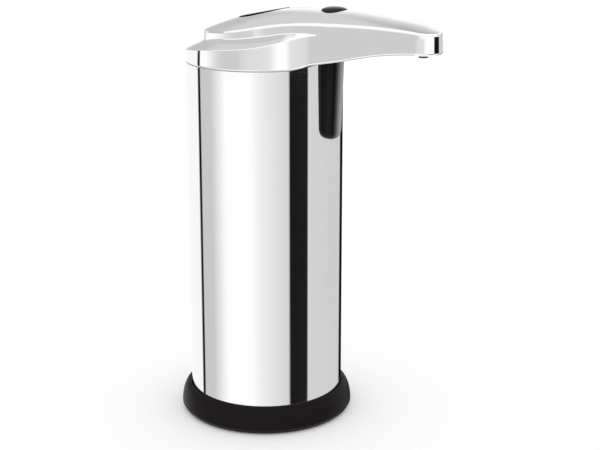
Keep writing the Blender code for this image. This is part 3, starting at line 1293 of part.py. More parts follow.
def make_head_shell(axis):
    """The moulded shell: band, sloping ledge, stepped wall and spout sides in one."""
    rim_drop = COVER_EDGE + SEAT_GAP
    band = plan_outline(BAND)
    band_round = plan_outline(BAND, EDGE_ROUND * EDGE_KNUCKLE_SHARE)
    band_top = plan_outline(BAND, EDGE_ROUND)
    wall = plan_outline(LEDGE)
    inner_wall = plan_outline(LEDGE, SHELL_WALL)
    inner_band = plan_outline(BAND, SHELL_WALL)
    rings = [
        outline_ring(inner_band, shell_height(BOTTOM_SHARES)),
        outline_ring(band_top, shell_height(BOTTOM_SHARES)),
        outline_ring(band, shell_height(BOTTOM_SHARES, -EDGE_ROUND)),
        outline_ring(band, shell_height(BAND_SHARES, EDGE_ROUND)),
    ]
    round_ring = []
    top_ring = []
    for start, knuckle, top, foot in zip(band, band_round, band_top, wall):
        outer, stepped = Vector(start[0]), Vector(foot[0])
        share = min((outer - stepped).length / EDGE_ROUND, 1.0)
        height = head_height(BAND_SHARES, outer.x)
        round_ring.append(Vector((*outer.lerp(Vector(knuckle[0]), share),
                                  height - EDGE_ROUND * EDGE_KNUCKLE_SHARE)))
        top_ring.append(Vector((*outer.lerp(Vector(top[0]), share), height)))
    rings += [round_ring, top_ring]
    rings += [
        outline_ring(wall, shell_height(LEDGE_SHARES)),
        outline_ring(wall, shell_height(RIM_SHARES, rim_drop)),
        outline_ring(inner_wall, shell_height(RIM_SHARES, rim_drop)),
        outline_ring(inner_wall, shell_height(LEDGE_SHARES, SHELL_WALL)),
        outline_ring(inner_band, shell_height(BAND_SHARES, SHELL_WALL)),
    ]
    place("head_shell", ring_mesh("head_shell", rings, around=True), "chrome", axis)


def make_top_cover(axis, cap_axis):
    """The crowned cover: its edge on the shell's rim, a lip inside the wall, holes for cap and button."""
    plan = plan_outline(LEDGE)
    soft = plan_outline(LEDGE, EDGE_ROUND * COVER_SOFT_SHARE)
    lip_out = plan_outline(LEDGE, DECK_INSET)
    lip_in = plan_outline(LEDGE, DECK_INSET + COVER_LIP_WALL)
    edge = shell_height(RIM_SHARES, COVER_EDGE)
    lip = shell_height(RIM_SHARES, COVER_EDGE + COVER_LIP)

    def under(x, y):
        return crown_height(x, y) - COVER_WALL

    rings = [inner_ring(plan, 0.0, crown_height)]
    rings += [inner_ring(plan, share, crown_height) for share in reversed(COVER_RING_SHARES)]
    rings.append([Vector((x, y, crown_height(x, y))) for (x, y), spine in soft])
    rings.append(outline_ring(plan, shell_height(RIM_SHARES, EDGE_ROUND * COVER_SOFT_SHARE)))
    rings.append(outline_ring(plan, edge))
    rings.append(outline_ring(lip_out, edge))
    rings.append(outline_ring(lip_out, lip))
    rings.append(outline_ring(lip_in, lip))
    rings.append([Vector((x, y, crown_height(x, y) - COVER_WALL)) for (x, y), spine in lip_in])
    rings += [inner_ring(lip_in, share, under) for share in COVER_UNDER_SHARES]
    rings.append(inner_ring(lip_in, 0.0, under))
    cover = place("top_cover", crowned_skin("top_cover", rings), "chrome", axis)
    cut(cover, cylinder_mesh("cap_hole", CAP_RADIUS + SEAT_GAP, -HEAD_HEIGHT / 2, HEAD_HEIGHT / 2,
                             steps=ROUND_STEPS), cap_axis)
    cut(cover, cylinder_mesh("button_hole", BUTTON_RADIUS + SEAT_GAP, SEAM_HEIGHT + HEAD_HEIGHT / 2,
                             SEAM_HEIGHT + 2 * HEAD_HEIGHT, (BUTTON_STATION, 0.0)), axis)


def cap_height():
    """Return the height of the fill cap's top over the body's axis."""
    return head_height(RIDGE_SHARES, 0.0) - CAP_SINK


def make_fill_cap(cap_axis):
    """The fill cap: a disc dished on both sides of a diagonal grip bar, and a hollow plug into the neck."""
    plug_in = CAP_PLUG_RADIUS - CAP_PLUG_WALL
    plug_end = -(CAP_THICKNESS + CAP_PLUG_DEPTH)
    web = -(CAP_THICKNESS + CAP_PLUG_WALL)
    profile = [(0.0, web), (plug_in, web), (plug_in, plug_end), (CAP_PLUG_RADIUS, plug_end),
               (CAP_PLUG_RADIUS, -CAP_THICKNESS), (CAP_RADIUS, -CAP_THICKNESS), (CAP_RADIUS, -EDGE_ROUND),
               (CAP_RADIUS - EDGE_ROUND, 0.0), (0.0, 0.0)]
    cap = place("fill_cap", turned_mesh("fill_cap", profile, ROUND_STEPS), "chrome", cap_axis)
    dish = place("cap_dish", cylinder_mesh("cap_dish", CAP_DISH_RADIUS, -CAP_DISH_DEPTH, CUT_OVERRUN),
                 None, cap_axis)
    bar = box_mesh("cap_bar", (-CAP_RADIUS, -CAP_BAR_WIDTH / 2, -CAP_THICKNESS),
                   (CAP_RADIUS, CAP_BAR_WIDTH / 2, 2 * CUT_OVERRUN))
    cut(dish, bar, cap_axis, rotation=(0.0, 0.0, CAP_BAR_TURN))
    combine(cap, dish)
    seal_low = -(CAP_THICKNESS + SEAT_GAP + SEAL_HEIGHT)
    seal = tube_mesh("fill_cap_seal", SEAL_OUTER, CAP_PLUG_RADIUS + SEAT_GAP, seal_low,
                     seal_low + SEAL_HEIGHT)
    place("fill_cap_seal", seal, "black_rubber", cap_axis)


def make_power_button(axis):
    """The domed button: a skirt through the cover, a flange under it and a stem over the switch."""
    crown = crown_height(BUTTON_STATION, 0.0)
    side = crown_height(BUTTON_STATION, BUTTON_RADIUS)
    ceiling = crown_height(BUTTON_STATION, BUTTON_RADIUS + BUTTON_FLANGE_REACH) - COVER_WALL - SEAT_GAP
    flange_top = min(ceiling, side - COVER_WALL - SEAT_GAP)
    flange_low = flange_top - BUTTON_FLANGE
    stem_low = switch_top() + SEAT_GAP + BUTTON_TRAVEL
    profile = [(0.0, stem_low), (BUTTON_STEM_RADIUS, stem_low), (BUTTON_STEM_RADIUS, flange_low),
               (BUTTON_RADIUS + BUTTON_FLANGE_REACH, flange_low),
               (BUTTON_RADIUS + BUTTON_FLANGE_REACH, flange_top),
               (BUTTON_RADIUS, flange_top), (BUTTON_RADIUS, crown)]
    for i in range(1, WINDOW_CORNER_STEPS + 1):
        turn = pi / 2 * i / WINDOW_CORNER_STEPS
        radius = BUTTON_RADIUS * cos(turn) if i < WINDOW_CORNER_STEPS else 0.0
        profile.append((radius, crown + BUTTON_DOME * sin(turn)))
    moved = [(radius, height - crown) for radius, height in profile]
    place("power_button", turned_mesh("power_button", moved), "black_gloss", axis,
          (BUTTON_STATION, 0.0, crown))


def switch_top():
    """Return the height of the switch plunger's top."""
    return board_base() + BOARD_THICKNESS + SEAT_GAP + SWITCH_HEIGHT + SWITCH_PLUNGER_HEIGHT


def board_base():
    """Return the height of the control board's underside, below the button by the switch's height."""
    flange = crown_height(BUTTON_STATION, BUTTON_RADIUS) - COVER_WALL - BUTTON_FLANGE - 2 * SEAT_GAP
    stack = BUTTON_TRAVEL + SWITCH_PLUNGER_HEIGHT + SWITCH_HEIGHT + BOARD_THICKNESS + 3 * SEAT_GAP
    return flange - stack


def post_places():
    """Return the plan places of the two posts under the control board."""
    return [(station * SPOUT_REACH, side * BOARD_HALF_WIDTH) for station, side in POST_SHARES]


def make_control_board(axis):
    """The control board on its posts, with the switch under the button, and its two screws."""
    rear = BOARD_REAR_SHARE * SPOUT_REACH
    front = BOARD_FRONT_SHARE * SPOUT_REACH
    base = board_base()
    slab = box_mesh("control_board", (rear, -BOARD_HALF_WIDTH, base),
                    (front, BOARD_HALF_WIDTH, base + BOARD_THICKNESS))
    board = place("control_board", slab, "board_green", axis)
    for number, centre in enumerate(post_places()):
        cut(board, cylinder_mesh(f"board_hole_{number}", SCREW_RADIUS + SCREW_GAP, base - CUT_OVERRUN,
                                 base + BOARD_THICKNESS + CUT_OVERRUN, centre, FINE_STEPS), axis)
        make_screw(axis, f"board_screw_{number + 1}", centre, base + BOARD_THICKNESS + SCREW_GAP, -1)
    square = rounded_box_outline(SWITCH_SIDE / 2, SWITCH_SIDE / 2, SCREW_RADIUS)
    outline = [(BUTTON_STATION + x, y) for x, y in square]
    low = base + BOARD_THICKNESS + SEAT_GAP
    switch = place("button_switch", prism_mesh("button_switch", outline, low, low + SWITCH_HEIGHT),
                   "black_gloss", axis)
    fuse(switch, cylinder_mesh("switch_plunger", SWITCH_PLUNGER_RADIUS, low + SWITCH_HEIGHT / 2,
                               switch_top(),
                               (BUTTON_STATION, 0.0), FINE_STEPS), axis)


def make_nozzle(axis):
    """The nozzle through the deck, with a side inlet for the tube and a valve in its mouth."""
    deck = deck_height(NOZZLE_STATION)
    low = deck - DECK_THICKNESS - NOZZLE_DROP
    top = deck + NOZZLE_RISE
    bore = TUBE_BORE
    profile = [(NOZZLE_RADIUS, low), (NOZZLE_RADIUS, deck + SEAT_GAP),
               (NOZZLE_BODY_RADIUS, deck + SEAT_GAP), (NOZZLE_BODY_RADIUS, top), (0.0, top)]
    inside = [(0.0, top - NOZZLE_CAP), (bore, top - NOZZLE_CAP), (bore, low)]
    nozzle = place("nozzle", turned_mesh("nozzle", inside + profile, FINE_STEPS), "white_plastic", axis,
                   (NOZZLE_STATION, 0.0, 0.0))
    cut(nozzle, cylinder_mesh("nozzle_inlet", bore * cos(pi / FINE_STEPS) ** 2, 0.0,
                              NOZZLE_BODY_RADIUS + CUT_OVERRUN, steps=FINE_STEPS // 2), axis,
        (NOZZLE_STATION, 0.0, deck + NOZZLE_INLET_RISE), (0.0, -pi / 2, 0.0))
    outer = bore - RUN_GAP
    valve_profile = [(VALVE_LIP, low), (outer, low), (outer, low + VALVE_DEPTH),
                     (outer / 2, low + VALVE_DEPTH)]
    place("nozzle_valve", turned_mesh("nozzle_valve", valve_profile, FINE_STEPS), "black_rubber", axis,
          (NOZZLE_STATION, 0.0, 0.0))


def make_axis(name, parent, location=(0.0, 0.0, 0.0), rotation=(0.0, 0.0, 0.0)):
    """Return an empty that pieces turn or slide about."""
    empty = bpy.data.objects.new(name, None)
    bpy.context.scene.collection.objects.link(empty)
    empty.parent = parent
    empty.location = location
    empty.rotation_euler = rotation
    return empty


clear_scene()
materials = {name: make_material(name, *values) for name, values in FINISHES.items()}
body_axis = make_axis("body_axis", None, (AXIS_X, 0.0, 0.0))
cap_axis = make_axis("cap_axis", body_axis, (0.0, 0.0, cap_height()), (0.0, -CAP_TILT, 0.0))
pump_axis = make_axis("pump_axis", body_axis)
idler_axis = make_axis("idler_axis", body_axis, (*idler_place(), 0.0))
make_foot(body_axis)
make_anti_slip_ring(body_axis)
make_battery_door(body_axis)
make_battery_holder(body_axis)
make_cells(body_axis)
make_contacts(body_axis)
make_inner_frame(body_axis)
make_motor(body_axis)
make_gears(pump_axis, idler_axis)
make_pump(body_axis)
make_tank(body_axis)
make_tank_lid(body_axis, cap_axis)
make_outlet_tube(body_axis)
make_wire_loom(body_axis)
make_sleeve(body_axis)
make_sensor_window(body_axis)
make_sensor_parts(body_axis)
make_head_chassis(body_axis, cap_axis)
make_head_shell(body_axis)
make_top_cover(body_axis, cap_axis)
make_fill_cap(cap_axis)
make_power_button(body_axis)
make_control_board(body_axis)
make_nozzle(body_axis)
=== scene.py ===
"""Looks of a free-standing automatic soap dispenser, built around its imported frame.

Metres, +Z up, +X the way the spout points. The body's axis stands behind the origin, and every
piece takes its place from the frame's nodes and from the sizes that its class holds.
"""

from __future__ import annotations

import json
import logging
from collections.abc import Callable, Iterable, Mapping, Sequence
from dataclasses import dataclass, field
from enum import Enum
from math import acos, atan2, cos, hypot, pi, radians, sin, sqrt, tan

import bmesh
import bpy
from mathutils import Matrix, Vector


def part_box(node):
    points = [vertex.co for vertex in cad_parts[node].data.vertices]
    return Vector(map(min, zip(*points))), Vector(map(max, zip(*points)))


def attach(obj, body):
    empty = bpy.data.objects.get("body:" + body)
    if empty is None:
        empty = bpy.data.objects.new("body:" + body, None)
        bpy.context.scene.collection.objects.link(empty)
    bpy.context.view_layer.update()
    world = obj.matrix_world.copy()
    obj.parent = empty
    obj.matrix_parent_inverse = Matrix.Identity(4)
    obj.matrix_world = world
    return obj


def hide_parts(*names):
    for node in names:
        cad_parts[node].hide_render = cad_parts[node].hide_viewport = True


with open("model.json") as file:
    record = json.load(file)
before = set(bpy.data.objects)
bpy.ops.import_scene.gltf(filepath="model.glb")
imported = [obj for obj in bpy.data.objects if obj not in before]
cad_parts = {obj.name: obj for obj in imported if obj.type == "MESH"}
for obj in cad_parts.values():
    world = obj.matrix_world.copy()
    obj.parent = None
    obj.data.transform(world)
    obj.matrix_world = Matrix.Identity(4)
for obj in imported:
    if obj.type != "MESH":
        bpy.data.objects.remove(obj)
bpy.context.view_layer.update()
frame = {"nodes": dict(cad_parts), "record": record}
LOG = logging.getLogger("soap_dispenser")
WELD = 2e-6

Piece = bpy.types.Object
Colour = tuple[float, float, float]
Point = tuple[float, float]
Ring = list[Vector]
Spot = tuple[Vector, float]


def math_operator(operation: str, swapped: bool = False) -> Callable[[Signal, Value], Signal]:
    """Return a method of Signal that adds one Math node, with its operands swapped or not.

    Args:
        operation: The Math node's operation.
        swapped: Whether the other operand comes first.

    Returns:
        The method.
    """
    def method(self: Signal, other: Value) -> Signal:
        """Return the result for self and other."""
        return self.maths(operation, *((other, self) if swapped else (self, other)))
    return method


class Signal:
    """A value socket used in arithmetic: each operation on it adds one Math node."""

    def __init__(self, sheet: NodeSheet, socket: bpy.types.NodeSocket) -> None:
        """Wrap an output socket of a sheet."""
        self.sheet = sheet
        self.socket = socket

    def maths(self, operation: str, *values: Value) -> Signal:
        """Return the result of a Math node on these values."""
        return self.sheet.signal("ShaderNodeMath", {"operation": operation}, dict(enumerate(values)))

    __add__ = math_operator("ADD")
    __radd__ = math_operator("ADD", swapped=True)
    __sub__ = math_operator("SUBTRACT")
    __rsub__ = math_operator("SUBTRACT", swapped=True)
    __mul__ = math_operator("MULTIPLY")
    __rmul__ = math_operator("MULTIPLY", swapped=True)
    __truediv__ = math_operator("DIVIDE")
    __rtruediv__ = math_operator("DIVIDE", swapped=True)


Value = Signal | bpy.types.NodeSocket | float | tuple


class NodeSheet:
    """A node tree that is written as expressions."""

    def __init__(self, tree: bpy.types.NodeTree) -> None:
        """Take a tree and clear it."""
        self.tree = tree
        self.tree.nodes.clear()

    def node(self, kind: str, settings: Mapping[str, object] | None = None,
             inputs: Mapping[str | int, Value] | None = None) -> bpy.types.Node:
        """Add a node.

        Args:
            kind: The node's type.
            settings: Its properties, set first; "stops" are a ramp's places and colours.
            inputs: Values or links of its sockets, by name or number.

        Returns:
            The new node.
        """
        made = self.tree.nodes.new(kind)
        for name, value in (settings or {}).items():
            if name == "stops":
                self._set_stops(made.color_ramp, value)
            else:
                setattr(made, name, value)
        for key, value in (inputs or {}).items():
            self.plug(made.inputs[key], value)
        return made

    def plug(self, socket: bpy.types.NodeSocket, value: Value) -> None:
        """Link or set one input socket.

        Args:
            socket: The input socket.
            value: What is linked to it, or the value that it holds.
        """
        if isinstance(value, Signal):
            self.tree.links.new(value.socket, socket)
        elif isinstance(value, bpy.types.NodeSocket):
            self.tree.links.new(value, socket)
        elif isinstance(value, tuple) and socket.type == "RGBA":
            socket.default_value = (*value[:3], 1.0)
        else:
            socket.default_value = value

    def signal(self, kind: str, settings: Mapping[str, object] | None = None,
               inputs: Mapping[str | int, Value] | None = None, output: str | int = 0) -> Signal:
        """Add a node and return one of its outputs as a signal."""
        return Signal(self, self.node(kind, settings, inputs).outputs[output])

    def place(self, stretch: Colour = (1.0, 1.0, 1.0)) -> bpy.types.NodeSocket:
        """Return object coordinates, stretched along the axes.

        Args:
            stretch: The pattern's scale along each axis.

        Returns:
            The socket of the coordinates.
        """
        spot = self.node("ShaderNodeTexCoord").outputs["Object"]
        if stretch == (1.0, 1.0, 1.0):
            return spot
        return self.node("ShaderNodeMapping", None, {"Vector": spot, "Scale": stretch}).outputs[0]

    def axes(self, vector: Value) -> tuple[Signal, Signal, Signal]:
        """Return a vector's three parts."""
        parts = self.node("ShaderNodeSeparateXYZ", None, {0: vector}).outputs
        return Signal(self, parts["X"]), Signal(self, parts["Y"]), Signal(self, parts["Z"])

    def ray(self, fact: Ray) -> Signal:
        """Return what the light path says of a ray."""
        return Signal(self, self.node("ShaderNodeLightPath").outputs[fact.value])

    def noise(self, scale: float, detail: float = 3.0, stretch: Colour = (1.0, 1.0, 1.0)) -> Signal:
        """Return a noise from 0 to 1 over the piece."""
        inputs = {"Vector": self.place(stretch), "Scale": scale, "Detail": detail}
        return self.signal("ShaderNodeTexNoise", None, inputs)

    def spread(self, value: Value, low: float, high: float) -> Signal:
        """Return a smooth step from 0 to 1 as the value goes from low to high."""
        settings = {"interpolation_type": "SMOOTHSTEP"}
        return self.signal("ShaderNodeMapRange", settings, {0: value, 1: low, 2: high, 3: 0.0, 4: 1.0})

    def blend(self, share: Value, first: Value, second: Value) -> Signal:
        """Return a colour between two colours."""
        return self.signal("ShaderNodeMix", {"data_type": "RGBA"}, {0: share, 6: first, 7: second}, 2)

    def ramp(self, value: Value, stops: Sequence[tuple[float, Colour]]) -> Signal:
        """Return the colour of a ramp at a value."""
        return self.signal("ShaderNodeValToRGB", {"stops": stops}, {0: value})

    def bump(self, height: Value, depth: float) -> Signal:
        """Return a normal raised by a height of up to this depth in metres."""
        inputs = {"Height": height, "Distance": depth, "Strength": 1.0}
        return self.signal("ShaderNodeBump", None, inputs)

    @staticmethod
    def _set_stops(ramp: bpy.types.ColorRamp, stops: Sequence[tuple[float, Colour]]) -> None:
        """Give a ramp its stops.

        Args:
            ramp: The colour ramp.
            stops: Its places and colours, in order.
        """
        while len(ramp.elements) < len(stops):
            ramp.elements.new(1.0)
        for element, (place, colour) in zip(ramp.elements, stops):
            element.position = place
            element.color = (*colour, 1.0)


def linear(shown: float) -> float:
    """Return the light that shows as this share of white on a screen."""
    knee, foot, slope, offset, power = 0.04045, 12.92, 1.055, 0.055, 2.4
    return shown / foot if shown <= knee else ((shown + offset) / slope) ** power


class Sheen(Enum):
    """How a moulded plastic is polished, by its roughness."""

    GLOSS = 0.08
    SATIN = 0.34
    MATT = 0.58


@dataclass(frozen=True)
class Finish:
    """A finish: a material with a name and nodes of its own."""

    name: str
    slot: str

    def material(self) -> bpy.types.Material:
        """Return this finish's material, made once.

        Returns:
            The material, with its nodes.
        """
        made = bpy.data.materials.get(self.name)
        if made is None:
            made = bpy.data.materials.new(self.name)
            made.use_nodes = True
            sheet = NodeSheet(made.node_tree)
            shader = sheet.node("ShaderNodeBsdfPrincipled")
            sheet.node("ShaderNodeOutputMaterial", None, {"Surface": shader.outputs[0]})
            for key, value in self.sockets(sheet).items():
                sheet.plug(shader.inputs[key], value)
        return made

    def sockets(self, sheet: NodeSheet) -> dict[str, Value]:
        """Return what each socket of the shader holds."""
        raise NotImplementedError


@dataclass(frozen=True)
class PolishedMetal(Finish):
    """Metal polished bright: faint wipe marks in the gloss and a trace of the polishing lines."""

    colour: Colour = (0.93, 0.93, 0.935)
    gloss: float = 0.03
    smear: float = 0.03
    line_depth: float = 2e-7
    lines: tuple[float, float, float] = (30.0, 30.0, 900.0)

    def sockets(self, sheet: NodeSheet) -> dict[str, Value]:
        """Return what each socket of the shader holds.

        Args:
            sheet: The material's node tree.

        Returns:
            A value or a link for each socket, by its name.
        """
        wipes = sheet.spread(sheet.noise(26.0, 4.0, (1.0, 1.0, 0.35)), 0.35, 0.72)
        specks = sheet.spread(sheet.noise(420.0, 2.0), 0.62, 0.8)
        lines = sheet.noise(1.0, 2.0, self.lines)
        worn = tuple(part * 0.985 for part in self.colour)
        return {
            "Base Color": sheet.blend(wipes, self.colour, worn),
            "Metallic": 1.0,
            "Roughness": self.gloss + wipes * self.smear + specks * (self.smear / 3),
            "Normal": sheet.bump(lines, self.line_depth),
        }


@dataclass(frozen=True)
class PlatedMetal(Finish):
    """Plain plated metal of small fittings: soft sheen, a little duller in patches."""

    colour: Colour = (0.72, 0.71, 0.68)
    dull: Colour = (0.58, 0.57, 0.54)
    gloss: float = 0.24

    def sockets(self, sheet: NodeSheet) -> dict[str, Value]:
        """Return what each socket of the shader holds.

        Args:
            sheet: The material's node tree.

        Returns:
            A value or a link for each socket, by its name.
        """
        patches = sheet.spread(sheet.noise(310.0, 4.0), 0.38, 0.7)
        grain = sheet.noise(2400.0, 2.0, (1.0, 1.0, 0.12))
        return {
            "Base Color": sheet.blend(patches, self.colour, self.dull),
            "Metallic": 1.0,
            "Roughness": self.gloss + patches * 0.14,
            "Normal": sheet.bump(grain, 4e-6),
        }


@dataclass(frozen=True)
class Moulded(Finish):
    """Moulded plastic: mottled a little in colour, with the tool's grain in its skin."""

    colour: Colour = (0.5, 0.5, 0.5)
    sheen: Sheen = Sheen.MATT
    grain_scale: float = 1500.0
    grain_depth: float = 6e-6
    shine: float = 0.5
    mottle: float = 0.12

    def sockets(self, sheet: NodeSheet) -> dict[str, Value]:
        """Return what each socket of the shader holds.

        Args:
            sheet: The material's node tree.

        Returns:
            A value or a link for each socket, by its name.
        """
        grain = sheet.noise(self.grain_scale, 3.0)
        patches = sheet.spread(sheet.noise(45.0, 3.0), 0.3, 0.7)
        shade = tuple(part * (1 - self.mottle) for part in self.colour)
        return {
            "Base Color": sheet.blend(patches, self.colour, shade),
            "Roughness": self.sheen.value + patches * 0.06 + grain * 0.05,
            "Specular IOR Level": self.shine,
            "Normal": sheet.bump(grain, self.grain_depth),
        }


@dataclass(frozen=True)
class SmokedWindow(Finish):
    """Smoked infrared window: black, its polished front face coated, and painted lighter towards +Y as a
    painted reflection.
    """

    front: float = 0.0
    depth: float = 0.0012
    colour: Colour = (0.0060, 0.0050, 0.0054)
    # painted reflection: the lighter colour painted on the front face
    clear: Colour = (0.30, 0.297, 0.31)
    half: float = 0.006

    def sockets(self, sheet: NodeSheet) -> dict[str, Value]:
        """Return what each socket of the shader holds.

        Args:
            sheet: The material's node tree.

        Returns:
            A value or a link for each socket, by its name.
        """
        x, y, _ = sheet.axes(sheet.place())
        facing = sheet.axes(sheet.node("ShaderNodeNewGeometry").outputs["Normal"])[0]
        # the front face, lighter towards +Y: a painted reflection in the base colour, and the real coat
        along = sheet.spread(x, self.front - self.depth, self.front)
        across = sheet.spread(y, -0.55 * self.half, 0.45 * self.half)
        polished = sheet.spread(facing, 0.55, 1.0) * along * across
        cloud = sheet.noise(160.0, 3.0)
        return {
            # painted reflection: the front face is painted lighter towards +Y
            "Base Color": sheet.blend(polished, self.colour, self.clear),
            "Roughness": 0.10 + cloud * 0.03,
            "Specular IOR Level": 0.12,
            "Coat Weight": polished * 0.9,
            "Coat Roughness": 0.03,
            "Coat IOR": 2.0,
            "Normal": sheet.bump(cloud, 1e-6),
        }


@dataclass(frozen=True)
class Rubber(Finish):
    """Soft rubber or silicone, matt, with a fine bloom."""

    colour: Colour = (0.016, 0.016, 0.016)
    bloom: Colour = (0.030, 0.030, 0.030)
    clearness: float = 0.0

    def sockets(self, sheet: NodeSheet) -> dict[str, Value]:
        """Return what each socket of the shader holds.

        Args:
            sheet: The material's node tree.

        Returns:
            A value or a link for each socket, by its name.
        """
        dust = sheet.spread(sheet.noise(220.0, 5.0), 0.42, 0.75)
        grain = sheet.noise(3200.0, 2.0)
        return {
            "Base Color": sheet.blend(dust, self.colour, self.bloom),
            "Roughness": 0.66 + dust * 0.16,
            "Specular IOR Level": 0.25,
            "Transmission Weight": self.clearness,
            "Normal": sheet.bump(grain, 8e-6),
        }


@dataclass(frozen=True)
class ClearTank(Finish):
    """Translucent tank wall, clouded a little, with faint flow lines."""

    colour: Colour = (0.80, 0.84, 0.86)
    cloud: Colour = (0.70, 0.76, 0.79)

    def sockets(self, sheet: NodeSheet) -> dict[str, Value]:
        """Return what each socket of the shader holds.

        Args:
            sheet: The material's node tree.

        Returns:
            A value or a link for each socket, by its name.
        """
        cloud = sheet.spread(sheet.noise(60.0, 4.0), 0.3, 0.75)
        flow = sheet.noise(120.0, 2.0, (1.0, 1.0, 0.08))
        return {
            "Base Color": sheet.blend(cloud, self.colour, self.cloud),
            "Roughness": 0.16 + cloud * 0.12,
            "Transmission Weight": 0.6,
            "Normal": sheet.bump(flow, 2e-5),
        }


@dataclass(frozen=True)
class CellJacket(Finish):
    """A cell's printed film: plain dark jacket, a copper-coloured band and bare metal ends."""

    low: float = 0.0
    high: float = 0.0435
    jacket: Colour = (0.030, 0.060, 0.038)
    band: Colour = (0.62, 0.30, 0.12)
    bare: Colour = (0.70, 0.69, 0.66)
    end: float = 0.0007
    band_share: float = 0.24

    def sockets(self, sheet: NodeSheet) -> dict[str, Value]:
        """Return what each socket of the shader holds.

        Args:
            sheet: The material's node tree.

        Returns:
            A value or a link for each socket, by its name.
        """
        height = sheet.axes(sheet.place())[2]
        edge = self.end / 6
        low_end = 1 - sheet.spread(height, self.low + self.end - edge, self.low + self.end + edge)
        high_end = sheet.spread(height, self.high - self.end - edge, self.high - self.end + edge)
        metal = low_end + high_end
        start = self.high - (self.high - self.low) * self.band_share
        printed = sheet.blend(sheet.spread(height, start - edge, start + edge), self.jacket, self.band)
        return {
            "Base Color": sheet.blend(metal, printed, self.bare),
            "Metallic": metal,
            "Roughness": 0.26 + sheet.noise(300.0) * 0.08,
            "Normal": sheet.bump(sheet.noise(900.0), 2e-6),
        }


@dataclass(frozen=True)
class CircuitBoard(Finish):
    """Solder mask over copper tracks: a grid of fine lines a little proud and lighter."""

    mask: Colour = (0.010, 0.110, 0.045)
    track: Colour = (0.030, 0.210, 0.085)
    pitch: float = 0.00127

    def sockets(self, sheet: NodeSheet) -> dict[str, Value]:
        """Return what each socket of the shader holds.

        Args:
            sheet: The material's node tree.

        Returns:
            A value or a link for each socket, by its name.
        """
        grid = {"Vector": sheet.place(), "Scale": 1.0 / self.pitch, "Randomness": 0.35}
        cells = sheet.signal("ShaderNodeTexVoronoi", {"feature": "DISTANCE_TO_EDGE"}, grid)
        track = 1 - sheet.spread(cells, 0.05, 0.12)
        return {
            "Base Color": sheet.blend(track, self.mask, self.track),
            "Roughness": 0.30 + sheet.noise(500.0) * 0.12,
            "Normal": sheet.bump(track, 3e-5),
        }


def deselect() -> None:
    """Leave edit mode and deselect everything."""
    if bpy.context.mode != "OBJECT":
        bpy.ops.object.mode_set(mode="OBJECT")
    bpy.ops.object.select_all(action="DESELECT")


def pick(piece: Piece) -> None:
    """Select one object and make it the active one.

    Args:
        piece: The object.
    """
    deselect()
    piece.select_set(True)
    bpy.context.view_layer.objects.active = piece


def named(piece: Piece, name: str) -> Piece:
    """Name an object and its mesh.

    Args:
        piece: The object.
        name: The name for both.

    Returns:
        The same object.
    """
    piece.name = name
    piece.data.name = name
    return piece


def clean(piece: Piece) -> Piece:
    """Merge a mesh's doubles, drop what is loose and point its faces outwards.

    Args:
        piece: The object.

    Returns:
        The same object.
    """
    pick(piece)
    bpy.ops.object.mode_set(mode="EDIT")
    bpy.ops.mesh.select_all(action="SELECT")
    bpy.ops.mesh.remove_doubles(threshold=WELD)
    bpy.ops.mesh.dissolve_degenerate(threshold=WELD)
    bpy.ops.mesh.delete_loose()
    bpy.ops.mesh.select_all(action="SELECT")
    bpy.ops.mesh.normals_make_consistent(inside=False)
    bpy.ops.object.mode_set(mode="OBJECT")
    return piece


def apply_modifiers(piece: Piece) -> None:
    """Apply every modifier of a piece in turn.

    Args:
        piece: The object.
    """
    pick(piece)
    for name in [modifier.name for modifier in piece.modifiers]:
        bpy.ops.object.modifier_apply(modifier=name)


def smooth(piece: Piece, angle: float = radians(30)) -> Piece:
    """Shade a piece smooth but for its sharp edges, with its large faces kept true.

    Args:
        piece: The object.
        angle: Edges that turn by more than this stay sharp.

    Returns:
        The same object.
    """
    pick(piece)
    bpy.ops.object.shade_smooth_by_angle(angle=angle)
    made = piece.modifiers.new("true_faces", "WEIGHTED_NORMAL")
    made.keep_sharp = True
    made.weight = 80
    apply_modifiers(piece)
    return piece


def soften(piece: Piece, width: float, segments: int, angle: float) -> Piece:
    """Round a piece's edges that are sharper than an angle.

    Args:
        piece: The object.
        width: How wide each round is.
        segments: How many faces each round has.
        angle: Edges that turn by more than this are rounded.

    Returns:
        The same object.
    """
    made = piece.modifiers.new("soft_edges", "BEVEL")
    made.width = width
    made.segments = segments
    made.limit_method = "ANGLE"
    made.angle_limit = angle
    made.use_clamp_overlap = True
    apply_modifiers(piece)
    return piece


def combine(piece: Piece, tool: Piece, operation: str = "DIFFERENCE") -> Piece:
    """Cut a tool from a piece, or join it on, and remove the tool.

    Args:
        piece: The object that is cut or joined on to.
        tool: The object that cuts it or joins it.
        operation: The kind of Boolean.

    Returns:
        The changed piece.
    """
    made = piece.modifiers.new("cut", "BOOLEAN")
    made.operation = operation
    made.object = tool
    made.solver = "EXACT"
    apply_modifiers(piece)
    bpy.data.objects.remove(tool, do_unlink=True)
    return piece


def moved(piece: Piece, matrix: Matrix) -> Piece:
    """Put a piece in its place and apply it to the mesh.

    Args:
        piece: The object.
        matrix: Its place, turn and size.

    Returns:
        The same object, with its place in its mesh.
    """
    piece.matrix_world = matrix
    pick(piece)
    bpy.ops.object.transform_apply(location=True, rotation=True, scale=True)
    return piece


def edit_circle(count: int) -> bmesh.types.BMesh:
    """Add a circle of edges and return its mesh in edit mode, all selected.

    Args:
        count: How many points it has.

    Returns:
        The mesh that is open for editing.
    """
    deselect()
    bpy.ops.mesh.primitive_circle_add(vertices=count, radius=1.0, fill_type="NOTHING")
    bpy.ops.object.mode_set(mode="EDIT")
    bpy.ops.mesh.select_all(action="SELECT")
    work = bmesh.from_edit_mesh(bpy.context.edit_object.data)
    work.verts.ensure_lookup_table()
    return work


